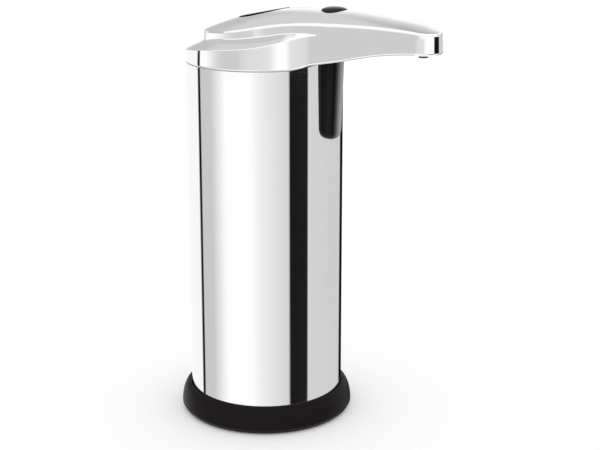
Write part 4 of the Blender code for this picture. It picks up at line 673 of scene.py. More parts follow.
def skinned(name: str, rings: Sequence[Ring], around: bool = False) -> Piece:
    """Extrude a ring of edges from place to place.

    Args:
        name: The piece's name.
        rings: The places that each ring's points take in turn, all with the same count.
        around: Whether the last ring meets the first again; otherwise both ends are filled
            unless their points meet on a line.

    Returns:
        The closed piece.
    """
    work = edit_circle(len(rings[0]))
    row = list(work.verts)
    for vert, place in zip(row, rings[0]):
        vert.co = place
    stops = list(rings[1:]) + ([rings[0]] if around else [])
    if not around:
        fill_ring()
    for ring in stops:
        bpy.ops.mesh.extrude_edges_move()
        work = bmesh.from_edit_mesh(bpy.context.edit_object.data)
        row = [next(edge.other_vert(vert) for edge in vert.link_edges if edge.other_vert(vert).select)
               for vert in row]
        for vert, place in zip(row, ring):
            vert.co = place
    if not around:
        fill_ring()
    bmesh.update_edit_mesh(bpy.context.edit_object.data)
    bpy.ops.object.mode_set(mode="OBJECT")
    return clean(named(bpy.context.object, name))


def fill_ring() -> None:
    """Fill the selected ring with one face, and leave its edges selected alone."""
    bmesh.update_edit_mesh(bpy.context.edit_object.data)
    bpy.ops.mesh.edge_face_add()
    bpy.ops.mesh.select_mode(type="VERT")


def turned(name: str, profile: Sequence[Point], axis: Point = (0.0, 0.0), steps: int = 96) -> Piece:
    """Spin a closed profile about an upright axis.

    Args:
        name: The piece's name.
        profile: Points of radius and height, in order.
        axis: The plan place of the axis.
        steps: How many steps the turn has.

    Returns:
        The turned piece.
    """
    work = edit_circle(len(profile))
    for vert, (radius, height) in zip(work.verts, profile):
        vert.co = (axis[0] + radius, axis[1], height)
    bmesh.update_edit_mesh(bpy.context.edit_object.data)
    bpy.ops.mesh.spin(steps=steps, angle=2 * pi, center=(*axis, 0.0), axis=(0.0, 0.0, 1.0))
    bpy.ops.object.mode_set(mode="OBJECT")
    return clean(named(bpy.context.object, name))


def rounded(corners: Iterable[tuple[float, float, float]], steps: int = 4) -> list[Point]:
    """Return a closed outline whose corners are rounded, each to its own radius.

    Args:
        corners: Each corner's place and its radius.
        steps: How many edges each round has.

    Returns:
        The outline's points, in order.
    """
    places = list(corners)
    points: list[Point] = []
    for i, (x, y, radius) in enumerate(places):
        corner = Vector((x, y))
        before = (Vector(places[i - 1][:2]) - corner).normalized()
        after = (Vector(places[(i + 1) % len(places)][:2]) - corner).normalized()
        half = acos(max(-1.0, min(1.0, before.dot(after)))) / 2
        if radius <= 0.0 or half > radians(88):
            points.append((x, y))
            continue
        centre = corner + (before + after).normalized() * radius / sin(half)
        first = corner + before * radius / tan(half) - centre
        last = corner + after * radius / tan(half) - centre
        for k in range(steps + 1):
            spoke = centre + first.lerp(last, k / steps).normalized() * radius
            points.append((spoke.x, spoke.y))
    return points


def block(name: str, low: Sequence[float], high: Sequence[float]) -> Piece:
    """Return a box between two corners, as a tool for a cut or a join.

    Args:
        name: The box's name.
        low: Its lowest corner.
        high: Its highest corner.

    Returns:
        The box.
    """
    deselect()
    bpy.ops.mesh.primitive_cube_add(size=1.0)
    piece = named(bpy.context.object, name)
    size = [b - a for a, b in zip(low, high)]
    centre = [(a + b) / 2 for a, b in zip(low, high)]
    return moved(piece, Matrix.Translation(centre) @ Matrix.Diagonal((*size, 1.0)))


def rod(name: str, radius: float, low: float, high: float, axis: Point = (0.0, 0.0),
        steps: int = 64) -> Piece:
    """Return an upright round rod, as a tool for a cut or a join.

    Args:
        name: The rod's name.
        radius: Its radius.
        low: The height of its foot.
        high: The height of its top.
        axis: The plan place of its axis.
        steps: How many sides it has.

    Returns:
        The rod.
    """
    deselect()
    bpy.ops.mesh.primitive_cylinder_add(vertices=steps, radius=radius, depth=high - low,
                                        location=(*axis, (low + high) / 2))
    piece = named(bpy.context.object, name)
    bpy.ops.object.transform_apply(location=True, rotation=True, scale=True)
    return piece


def arc(centre: Point, radius: Point, start: float, end: float, steps: int) -> list[Point]:
    """Return points along an arc of an ellipse, its two radii given."""
    turns = [start + (end - start) * k / steps for k in range(steps + 1)]
    return [(centre[0] + radius[0] * cos(turn), centre[1] + radius[1] * sin(turn)) for turn in turns]


def dress(piece: Piece, finish: Finish, body: str, *nodes: str) -> Piece:
    """Give a finished piece its material, its body and the frame's nodes that it stands for.

    Args:
        piece: The object.
        finish: Its finish.
        body: The body that it rides on.
        nodes: The frame's nodes that it stands for, if any.

    Returns:
        The same object.
    """
    piece.data.materials.clear()
    piece.data.materials.append(finish.material())
    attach(piece, body)
    if nodes:
        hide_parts(*nodes)
    LOG.info("%s: %d faces, on %s", piece.name, len(piece.data.polygons), body)
    return piece


SLEEVE_LOW, SLEEVE_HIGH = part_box("steel_sleeve")
AXIS_X = (SLEEVE_LOW.x + SLEEVE_HIGH.x) / 2
BODY_RADIUS = (SLEEVE_HIGH.x - SLEEVE_LOW.x) / 2
SHELL_LOW, SHELL_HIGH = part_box("head_shell")
SEAM = SHELL_LOW.z
REACH = SHELL_HIGH.x - AXIS_X
HEAD_HEIGHT = 0.0268
SLEEVE_WALL = 0.0006
SLOT_DEPTH = 0.0292
GAP = 0.0003

CHROME = PolishedMetal("chrome_plate", "chrome")
STEEL = PolishedMetal("polished_steel", "steel", (0.925, 0.925, 0.93), 0.035, 0.03, 3e-7, (6.0, 6.0, 500.0))
BRIGHT = PlatedMetal("plated_metal", "bright_metal")
FOOT_BLACK = Moulded("satin_black", "black_gloss", (0.0122, 0.0093, 0.0099), Sheen.SATIN,
                     2600.0, 2e-6, 0.05, 0.06)
BUTTON_BLACK = Moulded("button_black", "black_gloss", (0.0052, 0.0050, 0.0051), Sheen.GLOSS,
                       900.0, 4e-7, 0.35, 0.05)
# painted shade: near black for the head's chassis, which lies in shade under the head
CHASSIS_PAINTED_SHADE = Moulded("chassis_painted_shade_black", "grey_plastic", (0.010, 0.010, 0.010), Sheen.MATT,
                      1800.0, 6e-6, 0.2)
# painted shade: near black for the cap's recess cups and the band under its disc
CAP_PAINTED_SHADE_BLACK = Moulded("cap_painted_shade_black", "black_gloss", (0.0040, 0.0038, 0.0040), Sheen.MATT,
                      1500.0, 4e-6, 0.05)
RING_RUBBER = Rubber("black_rubber", "black_rubber")
SEAL_RUBBER = Rubber("red_silicone", "seal_rubber", (0.50, 0.17, 0.10), (0.58, 0.24, 0.16))
TUBE_SILICONE = Rubber("clear_silicone", "tube_silicone", (0.78, 0.80, 0.80), (0.86, 0.88, 0.88), 0.3)
GREY_PLASTIC = Moulded("grey_moulding", "grey_plastic", (0.34, 0.35, 0.36))
WHITE_PLASTIC = Moulded("white_moulding", "white_plastic", (0.76, 0.76, 0.74), Sheen.SATIN)
NOZZLE_WHITE = Moulded("nozzle_white", "white_plastic", (0.93, 0.93, 0.92), Sheen.SATIN,
                       900.0, 1e-6, 0.5, 0.03)
GEAR_PLASTIC = Moulded("gear_acetal", "gear_plastic", (0.84, 0.82, 0.76), Sheen.SATIN, 900.0, 2e-6)
WIRE_PLASTIC = Moulded("wire_jacket", "wire_red", (0.50, 0.025, 0.018), Sheen.SATIN, 1200.0, 2e-6)
CLEAR_PLASTIC = ClearTank("tank_wall", "clear_plastic")
BOARD_MASK = CircuitBoard("solder_mask", "board_green")


@dataclass(frozen=True)
class Rear:
    """The round rear of an outline: its circle, and the hollow fillet into the spout's side."""

    radius: float
    fillet: float


@dataclass(frozen=True)
class PlanPoint:
    """A point of the head's plan, about the body's axis."""

    place: Vector
    outward: Vector
    spine: float

    def inset(self, depth: float) -> Vector:
        """Return the place this far inside the outline."""
        return self.place - self.outward * depth


@dataclass(frozen=True)
class HeadPlan:
    """Plan of the beak-shaped head: a round tip, tapering sides, hollow fillets and a round rear."""

    tip_radius: float = 0.0096
    taper: float = radians(9)
    band: Rear = Rear(BODY_RADIUS, 0.022)
    ledge: Rear = Rear(0.0287, 0.060)
    tip_steps: int = 22
    side_steps: int = 26
    rear_steps: int = 92

    @property
    def tip_centre(self) -> float:
        """How far the tip's centre stands from the body's axis."""
        return REACH - self.tip_radius

    @property
    def side_normal(self) -> Vector:
        """The way out of the spout's side."""
        return Vector((sin(self.taper), cos(self.taper)))

    @property
    def side_distance(self) -> float:
        """How far the line of the spout's side runs from the body's axis."""
        return self.tip_radius + self.tip_centre * sin(self.taper)

    def fillet_centre(self, rear: Rear) -> Vector:
        """Return the centre of the hollow fillet beside the spout.

        Args:
            rear: The round rear of the outline.

        Returns:
            The centre's plan place, from the body's axis.
        """
        out = self.side_distance + rear.fillet
        along = sqrt((rear.radius + rear.fillet) ** 2 - out**2)
        return Vector((out * sin(self.taper) + along * cos(self.taper),
                       out * cos(self.taper) - along * sin(self.taper)))

    def fillet_end(self, rear: Rear) -> Vector:
        """Return where the hollow fillet runs out into the spout's side."""
        return self.fillet_centre(rear) - self.side_normal * rear.fillet

    def rear_point(self, rear: Rear, azimuth: float, spine: float) -> PlanPoint:
        """Return the outline's point at an azimuth, behind the spout's straight side.

        Args:
            rear: The round rear of the outline.
            azimuth: The way to the point from the body's axis.
            spine: The station on the spine that the point belongs to.

        Returns:
            The point of the round rear, of the fillet or of the side.
        """
        centre = self.fillet_centre(rear)
        end = self.fillet_end(rear)
        way = Vector((cos(azimuth), sin(azimuth)))
        if azimuth >= atan2(centre.y, centre.x):
            return PlanPoint(way * rear.radius, way, spine)
        if azimuth >= atan2(end.y, end.x):
            along = way.dot(centre)
            place = way * (along - sqrt(along**2 - centre.length_squared + rear.fillet**2))
            return PlanPoint(place, (centre - place).normalized(), spine)
        return PlanPoint(way * self.side_distance / way.dot(self.side_normal), self.side_normal, spine)

    def outline(self, rear: Rear) -> list[PlanPoint]:
        """Return the outline from the spout's tip round the rear and back.

        Args:
            rear: The round rear of the outline.

        Returns:
            The outline's points, as many for every rear.
        """
        half: list[PlanPoint] = []
        centre = Vector((self.tip_centre, 0.0))
        for i in range(self.tip_steps):
            turn = (pi / 2 - self.taper) * i / self.tip_steps
            way = Vector((cos(turn), sin(turn)))
            half.append(PlanPoint(centre + way * self.tip_radius, way, self.tip_centre))
        join = self.fillet_end(self.band)
        start = centre + self.side_normal * self.tip_radius
        for i in range(self.side_steps):
            place = start.lerp(join, i / self.side_steps)
            half.append(PlanPoint(place, self.side_normal, place.x - place.y * tan(self.taper)))
        join_turn = atan2(join.y, join.x)
        join_spine = join.x - join.y * tan(self.taper)
        for i in range(self.rear_steps + 1):
            turn = join_turn + (pi - join_turn) * i / self.rear_steps
            spine = join_spine * max(0.0, cos(turn) / cos(join_turn))
            half.append(self.rear_point(rear, turn, spine))
        flip = Vector((1.0, -1.0))
        return half + [PlanPoint(point.place * flip, point.outward * flip, point.spine)
                       for point in half[-2:0:-1]]

    def half_width(self, x: float) -> float:
        """Return the top's half width at a station along the spout.

        Args:
            x: The station along the spout, from the body's axis.

        Returns:
            Half the width of the ledge's outline there.
        """
        centre = self.fillet_centre(self.ledge)
        if x >= self.tip_centre + self.tip_radius * sin(self.taper):
            return sqrt(max(self.tip_radius**2 - (x - self.tip_centre) ** 2, 0.0))
        if x >= self.fillet_end(self.ledge).x:
            return (self.side_distance - x * sin(self.taper)) / cos(self.taper)
        if x >= centre.x * self.ledge.radius / (self.ledge.radius + self.ledge.fillet):
            return centre.y - sqrt(self.ledge.fillet**2 - (x - centre.x) ** 2)
        return sqrt(max(self.ledge.radius**2 - x**2, 0.0))


@dataclass(frozen=True)
class HeightLine:
    """A line along the head: shares of the spout's reach, and of the head's height there."""

    shares: tuple[tuple[float, float], ...]

    def at(self, x: float) -> float:
        """Return the line's height at a station.

        Args:
            x: The station along the spout, from the body's axis.

        Returns:
            The height in metres, on a smooth curve through the line's points.
        """
        place = x / REACH
        table = self.shares
        if place <= table[0][0] or place >= table[-1][0]:
            return SEAM + HEAD_HEIGHT * (table[0][1] if place <= table[0][0] else table[-1][1])
        i = max(j for j in range(len(table) - 1) if table[j][0] <= place)
        width = table[i + 1][0] - table[i][0]
        t = (place - table[i][0]) / width
        share = (table[i][1] * (2 * t**3 - 3 * t**2 + 1) + self.slope(i) * width * (t**3 - 2 * t**2 + t)
                 + table[i + 1][1] * (3 * t**2 - 2 * t**3) + self.slope(i + 1) * width * (t**3 - t**2))
        return SEAM + HEAD_HEIGHT * share

    def slope(self, i: int) -> float:
        """Return the line's slope at one of its points.

        Args:
            i: The point's number.

        Returns:
            The slope, in shares.
        """
        low = self.shares[max(i - 1, 0)]
        high = self.shares[min(i + 1, len(self.shares) - 1)]
        return (high[1] - low[1]) / (high[0] - low[0])


BOTTOM = HeightLine(((-0.45, 0.0), (0.30, 0.0), (0.36, 0.045), (0.40, 0.095), (0.55, 0.195),
                     (0.71, 0.315), (0.83, 0.37), (0.93, 0.392), (1.0, 0.385)))
BAND = HeightLine(((-0.392, 0.187), (-0.20, 0.262), (-0.07, 0.318), (0.0, 0.338), (0.10, 0.364),
                   (0.188, 0.402), (0.261, 0.460), (0.324, 0.534), (0.38, 0.585), (0.44, 0.605),
                   (0.70, 0.602), (1.0, 0.54)))
LEDGE = HeightLine(((-0.30, 0.332), (-0.20, 0.382), (-0.084, 0.446), (0.041, 0.488), (0.157, 0.540),
                    (0.26, 0.600), (0.345, 0.634), (0.43, 0.632), (0.70, 0.622), (1.0, 0.56)))
RIM = HeightLine(((-0.30, 0.534), (-0.20, 0.557), (-0.084, 0.591), (0.031, 0.634), (0.157, 0.708),
                  (0.25, 0.760), (0.345, 0.788), (0.475, 0.800), (0.585, 0.804), (0.70, 0.802),
                  (0.784, 0.790), (0.90, 0.762), (1.0, 0.720)))
RIDGE = HeightLine(((-0.30, 0.536), (-0.144, 0.739), (0.031, 0.906), (0.14, 0.955), (0.24, 0.985),
                    (0.36, 0.988), (0.496, 0.995), (0.60, 0.972), (0.731, 0.928), (0.888, 0.858),
                    (1.0, 0.752)))


@dataclass(frozen=True)
class Head:
    """The chromed head: a stepped shell over the sleeve and a crowned cover on its rim.

    A method whose name ends in spot gives the plan place and the height of a ring's point, from a
    point of the band's outline and the point of the ledge's outline beside it.
    """

    plan: HeadPlan = HeadPlan()
    wall: float = 0.002
    draft: float = tan(radians(2.2))
    upper_draft: float = tan(radians(3.4))
    merge_width: float = 0.004
    foot_chamfer: float = 0.0006
    chamfer_shares: tuple[Point, ...] = ((1.15, 0.0), (0.9, 0.06), (0.1, 0.86), (0.0, 1.15), (0.0, 1.6))
    band_shares: tuple[float, ...] = (0.45, 0.7)
    ledge_shares: tuple[float, ...] = (0.3, 0.55, 0.8, 0.95, 0.985)
    band_round: float = 0.0004
    rim_round: float = 0.0006
    rim_land: float = 0.00008
    crease: float = 0.00012
    hair: float = 0.00003
    part_land: float = 0.0001
    seat_depth: float = 0.0012
    cover_edge: float = 0.00076
    cover_gap: float = 0.00003
    cover_wall: float = 0.0018
    cover_lip: float = 0.0014
    lip_depth: float = 0.002
    sharp: float = radians(38)
    arc_steps: int = 5
    crown_shares: tuple[float, ...] = tuple(sin(pi / 2 * k / 22) for k in range(22))
    under_shares: tuple[float, ...] = (1.0, 0.66, 0.33, 0.0)

    def crown(self, x: float, y: float) -> float:
        """Return the crowned cover's height at a plan place.

        Args:
            x: The station along the spout, from the body's axis.
            y: How far the place lies from the middle.

        Returns:
            The height in metres.
        """
        rim = RIM.at(x)
        width = self.plan.half_width(x)
        if width <= abs(y):
            return rim
        return rim + (RIDGE.at(x) - rim) * (1 - (y / width) ** 2)

    def rings(self, spot: Callable[..., Spot], rows: Iterable[tuple[object, ...]]) -> list[Ring]:
        """Return rings of points.

        Args:
            spot: The method that gives a point's plan place and height.
            rows: What it is given besides the outline points, for each ring.

        Returns:
            One ring for each row.
        """
        pairs = list(zip(self.plan.outline(self.plan.band), self.plan.outline(self.plan.ledge)))
        made = [[spot(low, high, *row) for low, high in pairs] for row in rows]
        return [[Vector((AXIS_X + place.x, place.y, height)) for place, height in ring] for ring in made]

    def band_spot(self, low: PlanPoint, _high: PlanPoint, rise: float, depth: float,
                  lift: float = 0.0) -> Spot:
        """Return a spot on the band's wall, a share of the way up, a depth inside and lifted.

        Args:
            low: The point of the band's outline.
            _high: The point of the ledge's outline beside it; not used.
            rise: The share of the way up the wall.
            depth: How deep inside the wall it lies.
            lift: How far it is lifted.

        Returns:
            The plan place and the height.
        """
        bottom = BOTTOM.at(low.place.x)
        height = bottom + (BAND.at(low.place.x) - bottom) * rise + lift
        return low.inset(depth + self.draft * max(height - bottom, 0.0)), height

    def ledge_spot(self, low: PlanPoint, high: PlanPoint, share: float) -> Spot:
        """Return a spot a share of the way in across the ledge.

        Args:
            low: The point of the band's outline.
            high: The point of the ledge's outline beside it.
            share: The share of the way in.

        Returns:
            The plan place and the height.
        """
        bottom, top = BOTTOM.at(low.place.x), BAND.at(low.place.x)
        ledge = LEDGE.at(high.place.x)
        outer = low.inset(self.draft * (top - bottom))
        inner = high.inset(self.draft * (ledge - bottom) * self.merged(low, high))
        return outer.lerp(inner, share), top + (ledge - top) * share

    def round_spot(self, low: PlanPoint, high: PlanPoint, step: float) -> Spot:
        """Return a spot on the band's top round, which fades out where the ledge does.

        Args:
            low: The point of the band's outline.
            high: The point of the ledge's outline beside it.
            step: How far round it lies, from the wall to the ledge.

        Returns:
            The plan place and the height.
        """
        bottom, top = BOTTOM.at(low.place.x), BAND.at(low.place.x)
        width = (low.place - high.place).length
        radius = min(self.band_round, width / 2)
        slope = atan2(LEDGE.at(high.place.x) - top, max(width, GAP))
        turn = (pi / 2 - slope) * step
        height = top - radius * (1 - sin(turn)) + radius * (1 - cos(slope)) * step
        across = (high.place - low.place).normalized() if width > WELD else -low.outward
        return low.inset(self.draft * (top - bottom)) + across * (radius * (1 - cos(turn))), height

    def merged(self, low: PlanPoint, high: PlanPoint) -> float:
        """Return 1 where both outlines run together along the spout, and 0 away from there."""
        return max(0.0, 1 - (low.place - high.place).length / self.merge_width)

    def wall_depth(self, low: PlanPoint, high: PlanPoint, height: float) -> float:
        """Return how far the upper wall leans in at a height.

        Args:
            low: The point of the band's outline.
            high: The point of the ledge's outline beside it.
            height: The height in metres.

        Returns:
            The depth from the ledge's outline.
        """
        ledge = LEDGE.at(high.place.x)
        merged = self.merged(low, high)
        below = self.draft * (ledge - BOTTOM.at(low.place.x)) * merged
        return below + (self.draft * merged + self.upper_draft * (1 - merged)) * (height - ledge)

    def wall_spot(self, low: PlanPoint, high: PlanPoint, lift: float, depth: float = 0.0,
                  line: HeightLine = RIM) -> Spot:
        """Return a spot on the upper wall, lifted from a line, a depth inside."""
        height = line.at(high.place.x) + lift
        return high.inset(self.wall_depth(low, high, height) + depth), height

    def crown_spot(self, low: PlanPoint, high: PlanPoint, share: float, depth: float,
                   drop: float = 0.0) -> Spot:
        """Return a spot of the crown, a share of the way out from the spine, a depth inside, dropped.

        Args:
            low: The point of the band's outline.
            high: The point of the ledge's outline beside it.
            share: The share of the way out from the spine.
            depth: How deep inside the wall the way ends.
            drop: How far below the crown it lies.

        Returns:
            The plan place and the height.
        """
        edge = high.inset(depth + self.wall_depth(low, high, RIM.at(high.place.x)))
        place = Vector((high.spine + (edge.x - high.spine) * share, edge.y * share))
        return place, self.crown(place.x, place.y) - drop

    def rim_spot(self, low: PlanPoint, high: PlanPoint, step: float) -> Spot:
        """Return a spot on the rim's round, from the crown over to the wall.

        Args:
            low: The point of the band's outline.
            high: The point of the ledge's outline beside it.
            step: How far round it lies, from the crown to the wall.

        Returns:
            The plan place and the height.
        """
        rim = RIM.at(high.place.x)
        lean = self.wall_depth(low, high, rim)
        inner = high.inset(lean + self.rim_round)
        base = rim - self.rim_round
        turn = pi / 2 * step
        height = base + (self.crown(inner.x, inner.y) - base) * cos(turn)
        return high.inset(lean + self.rim_round * (1 - sin(turn))), height

    def shell(self) -> Piece:
        """Model the stepped shell, outside from its lower edge to its rim and back down inside.

        Returns:
            The closed shell, shaded smooth.
        """
        chamfer, part = self.foot_chamfer, -(self.cover_edge + self.cover_gap)
        turns = [(k / self.arc_steps,) for k in range(self.arc_steps + 1)]
        rings = self.rings(self.band_spot, [(0.0, self.wall)])
        rings += self.rings(self.band_spot, [(0.0, chamfer * depth, chamfer * lift)
                                             for depth, lift in self.chamfer_shares])
        rings += self.rings(self.band_spot, [(share, 0.0) for share in self.band_shares])
        rings += self.rings(self.round_spot, turns)
        rings += self.rings(self.ledge_spot, [(share,) for share in self.ledge_shares])
        rings += self.rings(self.wall_spot, [
            (self.crease, 0.0, LEDGE), (4 * self.crease, 0.0, LEDGE), (part - self.part_land,),
            (part, self.hair), (part, self.wall), (part - self.seat_depth, self.wall)])
        rings += self.rings(self.band_spot, [(0.5, self.wall)])
        return smooth(skinned("head_shell_chromed", rings, around=True), self.sharp)

    def cover(self) -> Piece:
        """Model the crowned cover, before its holes are cut.

        Returns:
            The closed cover.
        """
        turns = [(k / self.arc_steps,) for k in range(self.arc_steps + 1)]
        under = self.wall + GAP
        inner = under + self.cover_lip
        foot = -self.cover_edge - self.lip_depth
        rings = self.rings(self.crown_spot, [(share, self.rim_round) for share in self.crown_shares])
        rings += self.rings(self.rim_spot, turns)
        rings += self.rings(self.wall_spot, [
            (-self.rim_round - self.rim_land,), (self.hair - self.cover_edge,),
            (-self.cover_edge, self.hair), (-self.cover_edge, under), (foot, under), (foot, inner)])
        rings += self.rings(self.crown_spot, [(share, inner, self.cover_wall)
                                              for share in self.under_shares])
        return skinned("top_cover_chromed", rings)

    def build(self, cap: FillCap, button: PowerButton) -> None:
        """Model the shell and the cover, cut the cover's holes and dress both.

        Args:
            cap: The fill cap, which has a hole in the cover.
            button: The power button, which has another.
        """
        dress(self.shell(), CHROME, "housing", "head_shell")
        cover = self.cover()
        smooth(cover, self.sharp)
        source = cover.copy()
        source.data = cover.data.copy()
        bpy.context.scene.collection.objects.link(source)
        combine(cover, cap.hole_tool())
        combine(cover, button.hole_tool())
        clean(cover)
        smooth(cover, self.sharp)
        self.carry_normals(cover, source)
        dress(cover, CHROME, "housing", "top_cover")

    @staticmethod
    def carry_normals(cut: Piece, source: Piece) -> None:
        """Give the cut cover the whole cover's shading, but on the walls of its holes.

        Args:
            cut: The cover with its holes.
            source: The whole cover, which is removed.
        """
        group = cut.vertex_groups.new(name="crown")
        walls = {index for face in cut.data.polygons if face.normal.z < 0.5 for index in face.vertices}
        group.add([vert.index for vert in cut.data.vertices if vert.index not in walls], 1.0, "REPLACE")
        made = cut.modifiers.new("shading", "DATA_TRANSFER")
        made.object = source
        made.use_loop_data = True
        made.data_types_loops = {"CUSTOM_NORMAL"}
        made.loop_mapping = "POLYINTERP_NEAREST"
        made.vertex_group = "crown"
        apply_modifiers(cut)
        cut.vertex_groups.clear()
        bpy.data.objects.remove(source, do_unlink=True)


@dataclass(frozen=True)
class FillCap:
    """The fill cap: a low disc on a black collar, which paints the shadow gap under the disc, hollowed
    beside a slanting grip bar, over a plug.
    """

    radius: float = 0.0122
    tilt: float = radians(12.5)
    sink: float = 0.0011
    thickness: float = 0.0034
    rise: float = 0.0008
    disc: float = 0.0005
    collar: float = 0.0007
    dome: float = 0.0001
    dish_radius: float = 0.0102
    dish_depth: float = 0.0024
    dish_corner: float = 0.0006
    liner_wall: float = 0.0004
    liner_drop: float = 0.00035
    bar_width: float = 0.0042
    bar_turn: float = radians(38)
    plug_radius: float = 0.0083
    plug_depth: float = 0.0046
    plug_wall: float = 0.0016
    plug_corner: float = 0.0003
    plug_lead: float = 0.0005
    corner: float = 0.0002
    soft_edge: float = 0.00018
    seal_outer: float = 0.0104
    seal_height: float = 0.001
    dome_steps: int = 8
    steps: int = 128

    @property
    def place(self) -> Matrix:
        """Where the cap's top centre stands, and its tilt."""
        height = RIDGE.at(0.0) - self.sink
        return Matrix.Translation((AXIS_X, 0.0, height)) @ Matrix.Rotation(-self.tilt, 4, "Y")

    def hole_tool(self) -> Piece:
        """Return the rod that cuts the cover's hole."""
        hole = rod("cap_hole", self.radius + GAP / 2, -HEAD_HEIGHT / 2, HEAD_HEIGHT / 2, steps=self.steps)
        return moved(hole, self.place)

    def dishes(self, floor: float, side: float, top: float, bar: float) -> Piece:
        """Return the two half dishes beside the grip bar.

        Args:
            floor: The height of their floor, counted from the cap's top.
            side: Their outer radius.
            top: The height that they reach.
            bar: The width left between them.

        Returns:
            Both halves in one object, with a rounded foot.
        """
        dish = turned("cap_dish", rounded([(0.0, floor, 0.0), (side, floor, self.dish_corner),
                                           (side, top, 0.0), (0.0, top, 0.0)]))
        middle = block("cap_bar", (-self.radius, -bar / 2, -self.thickness),
                       (self.radius, bar / 2, self.thickness))
        return combine(dish, moved(middle, Matrix.Rotation(self.bar_turn, 4, "Z")))

    def painted_shade_cups(self) -> Piece:
        """Model the black cups that line both finger recesses, as painted shade in the recesses.

        Returns:
            Both cups in one object.
        """
        gap, wall = GAP / 10, self.liner_wall
        floor = gap + self.rise - self.dish_depth
        side = self.dish_radius - gap
        bar = self.bar_width + 2 * gap
        outer = self.dishes(floor, side, self.rise - self.liner_drop, bar)
        inner = self.dishes(floor + wall, side - wall, self.thickness, bar + 2 * wall)
        return named(clean(combine(outer, inner)), "fill_cap_recess_painted_shade")

    def build(self) -> None:
        """Model the cap, its black collar and recess liners, which paint the shadow under the disc and the
        shade in the recesses, and its seal, and dress them.
        """
        inner = self.plug_radius - self.plug_wall
        waist = self.radius - self.collar
        under = self.rise - self.disc
        plug_end = -(self.thickness + self.plug_depth)
        web = -(self.thickness + self.plug_wall)
        outline = [(0.0, web, 0.0), (inner, web, self.plug_corner), (inner, plug_end, self.plug_corner),
                   (self.plug_radius, plug_end, self.plug_lead), (self.plug_radius, -self.thickness, 0.0),
                   (waist, -self.thickness, self.corner), (waist, under, 0.0),
                   (self.radius, under, self.corner), (self.radius, self.rise - self.dome, 0.0)]
        dome = arc((0.0, self.rise - self.dome), (self.radius, self.dome), 0.0, pi / 2,
                   self.dome_steps)[3:-1]
        profile = rounded(outline) + dome + [(0.0, self.rise)]
        cap = turned("fill_cap_chromed", profile, steps=self.steps)
        combine(cap, self.dishes(self.rise - self.dish_depth, self.dish_radius, self.thickness,
                                 self.bar_width))
        soften(clean(cap), self.soft_edge, 3, radians(40))
        dress(smooth(moved(cap, self.place), radians(35)), CHROME, "fill_cap", "fill_cap")
        # painted shade: the recess cups are black for the shade in the recesses
        dress(smooth(moved(self.painted_shade_cups(), self.place)), CAP_PAINTED_SHADE_BLACK, "fill_cap")
        # painted shadow: a black band under the disc's edge stands for its shadow gap
        gap = GAP / 10
        outer = self.radius - gap
        band = rounded([(waist + gap, -self.thickness, 0.0), (outer, -self.thickness, self.corner),
                        (outer, under - gap, self.corner / 2), (waist + gap, under - gap, 0.0)])
        collar = turned("fill_cap_painted_shadow_ring", band, steps=self.steps)
        dress(smooth(moved(collar, self.place)), CAP_PAINTED_SHADE_BLACK, "fill_cap")
        low = -(self.thickness + GAP + self.seal_height)
        edge = self.seal_height / 2.2
        high, seat = low + self.seal_height, self.plug_radius + GAP
        ring = rounded([(self.seal_outer, low, edge), (self.seal_outer, high, edge), (seat, high, edge),
                        (seat, low, edge)], 5)
        seal = moved(turned("fill_cap_o_ring", ring), self.place)
        dress(smooth(seal), RING_RUBBER, "cap_seal", "fill_cap_seal")


@dataclass(frozen=True)
class PowerButton:
    """The domed power button in the cover, with its flange and stem under it."""

    station: float = 0.42
    radius: float = 0.006
    dome: float = 0.0018
    stem_radius: float = 0.0015
    flange_reach: float = 0.0011
    flange: float = 0.001
    sink: float = 0.0006
    corner: float = 0.0002
    dome_steps: int = 14
    hole_steps: int = 96
    steps: int = 112

    @property
    def axis(self) -> Point:
        """The plan place of the button's axis."""
        return AXIS_X + self.station * REACH, 0.0

    def hole_tool(self) -> Piece:
        """Return the rod that cuts the cover's hole."""
        low, high = (corner.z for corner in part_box("power_button"))
        return rod("button_hole", self.radius + GAP / 2, low, high + self.dome, self.axis, self.hole_steps)

    def build(self) -> None:
        """Model the button as one turned piece and dress it."""
        low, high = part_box("power_button")
        top = high.z - self.sink
        crown = top - self.dome
        flange_low = self.flange_base(low.z) - self.sink
        flange_top = flange_low + self.flange
        reach = self.radius + self.flange_reach
        stem = rounded([(0.0, low.z, 0.0), (self.stem_radius, low.z, self.corner),
                        (self.stem_radius, flange_low, 0.0), (reach, flange_low, self.corner),
                        (reach, flange_top, self.corner), (self.radius, flange_top, 0.0),
                        (self.radius, crown, 0.0)])
        dome = arc((0.0, crown), (self.radius, self.dome), 0.0, pi / 2, self.dome_steps)[1:-1]
        button = turned("power_button_domed", stem + dome + [(0.0, top)], self.axis, self.steps)
        dress(smooth(button, radians(40)), BUTTON_BLACK, "power_button", "power_button")

    @staticmethod
    def flange_base(stem_low: float) -> float:
        """Return the height of the flange's underside in the frame's own button."""
        heights = sorted({round(vert.co.z, 6) for vert in frame["nodes"]["power_button"].data.vertices})
        return next(height for height in heights if height > stem_low + WELD)


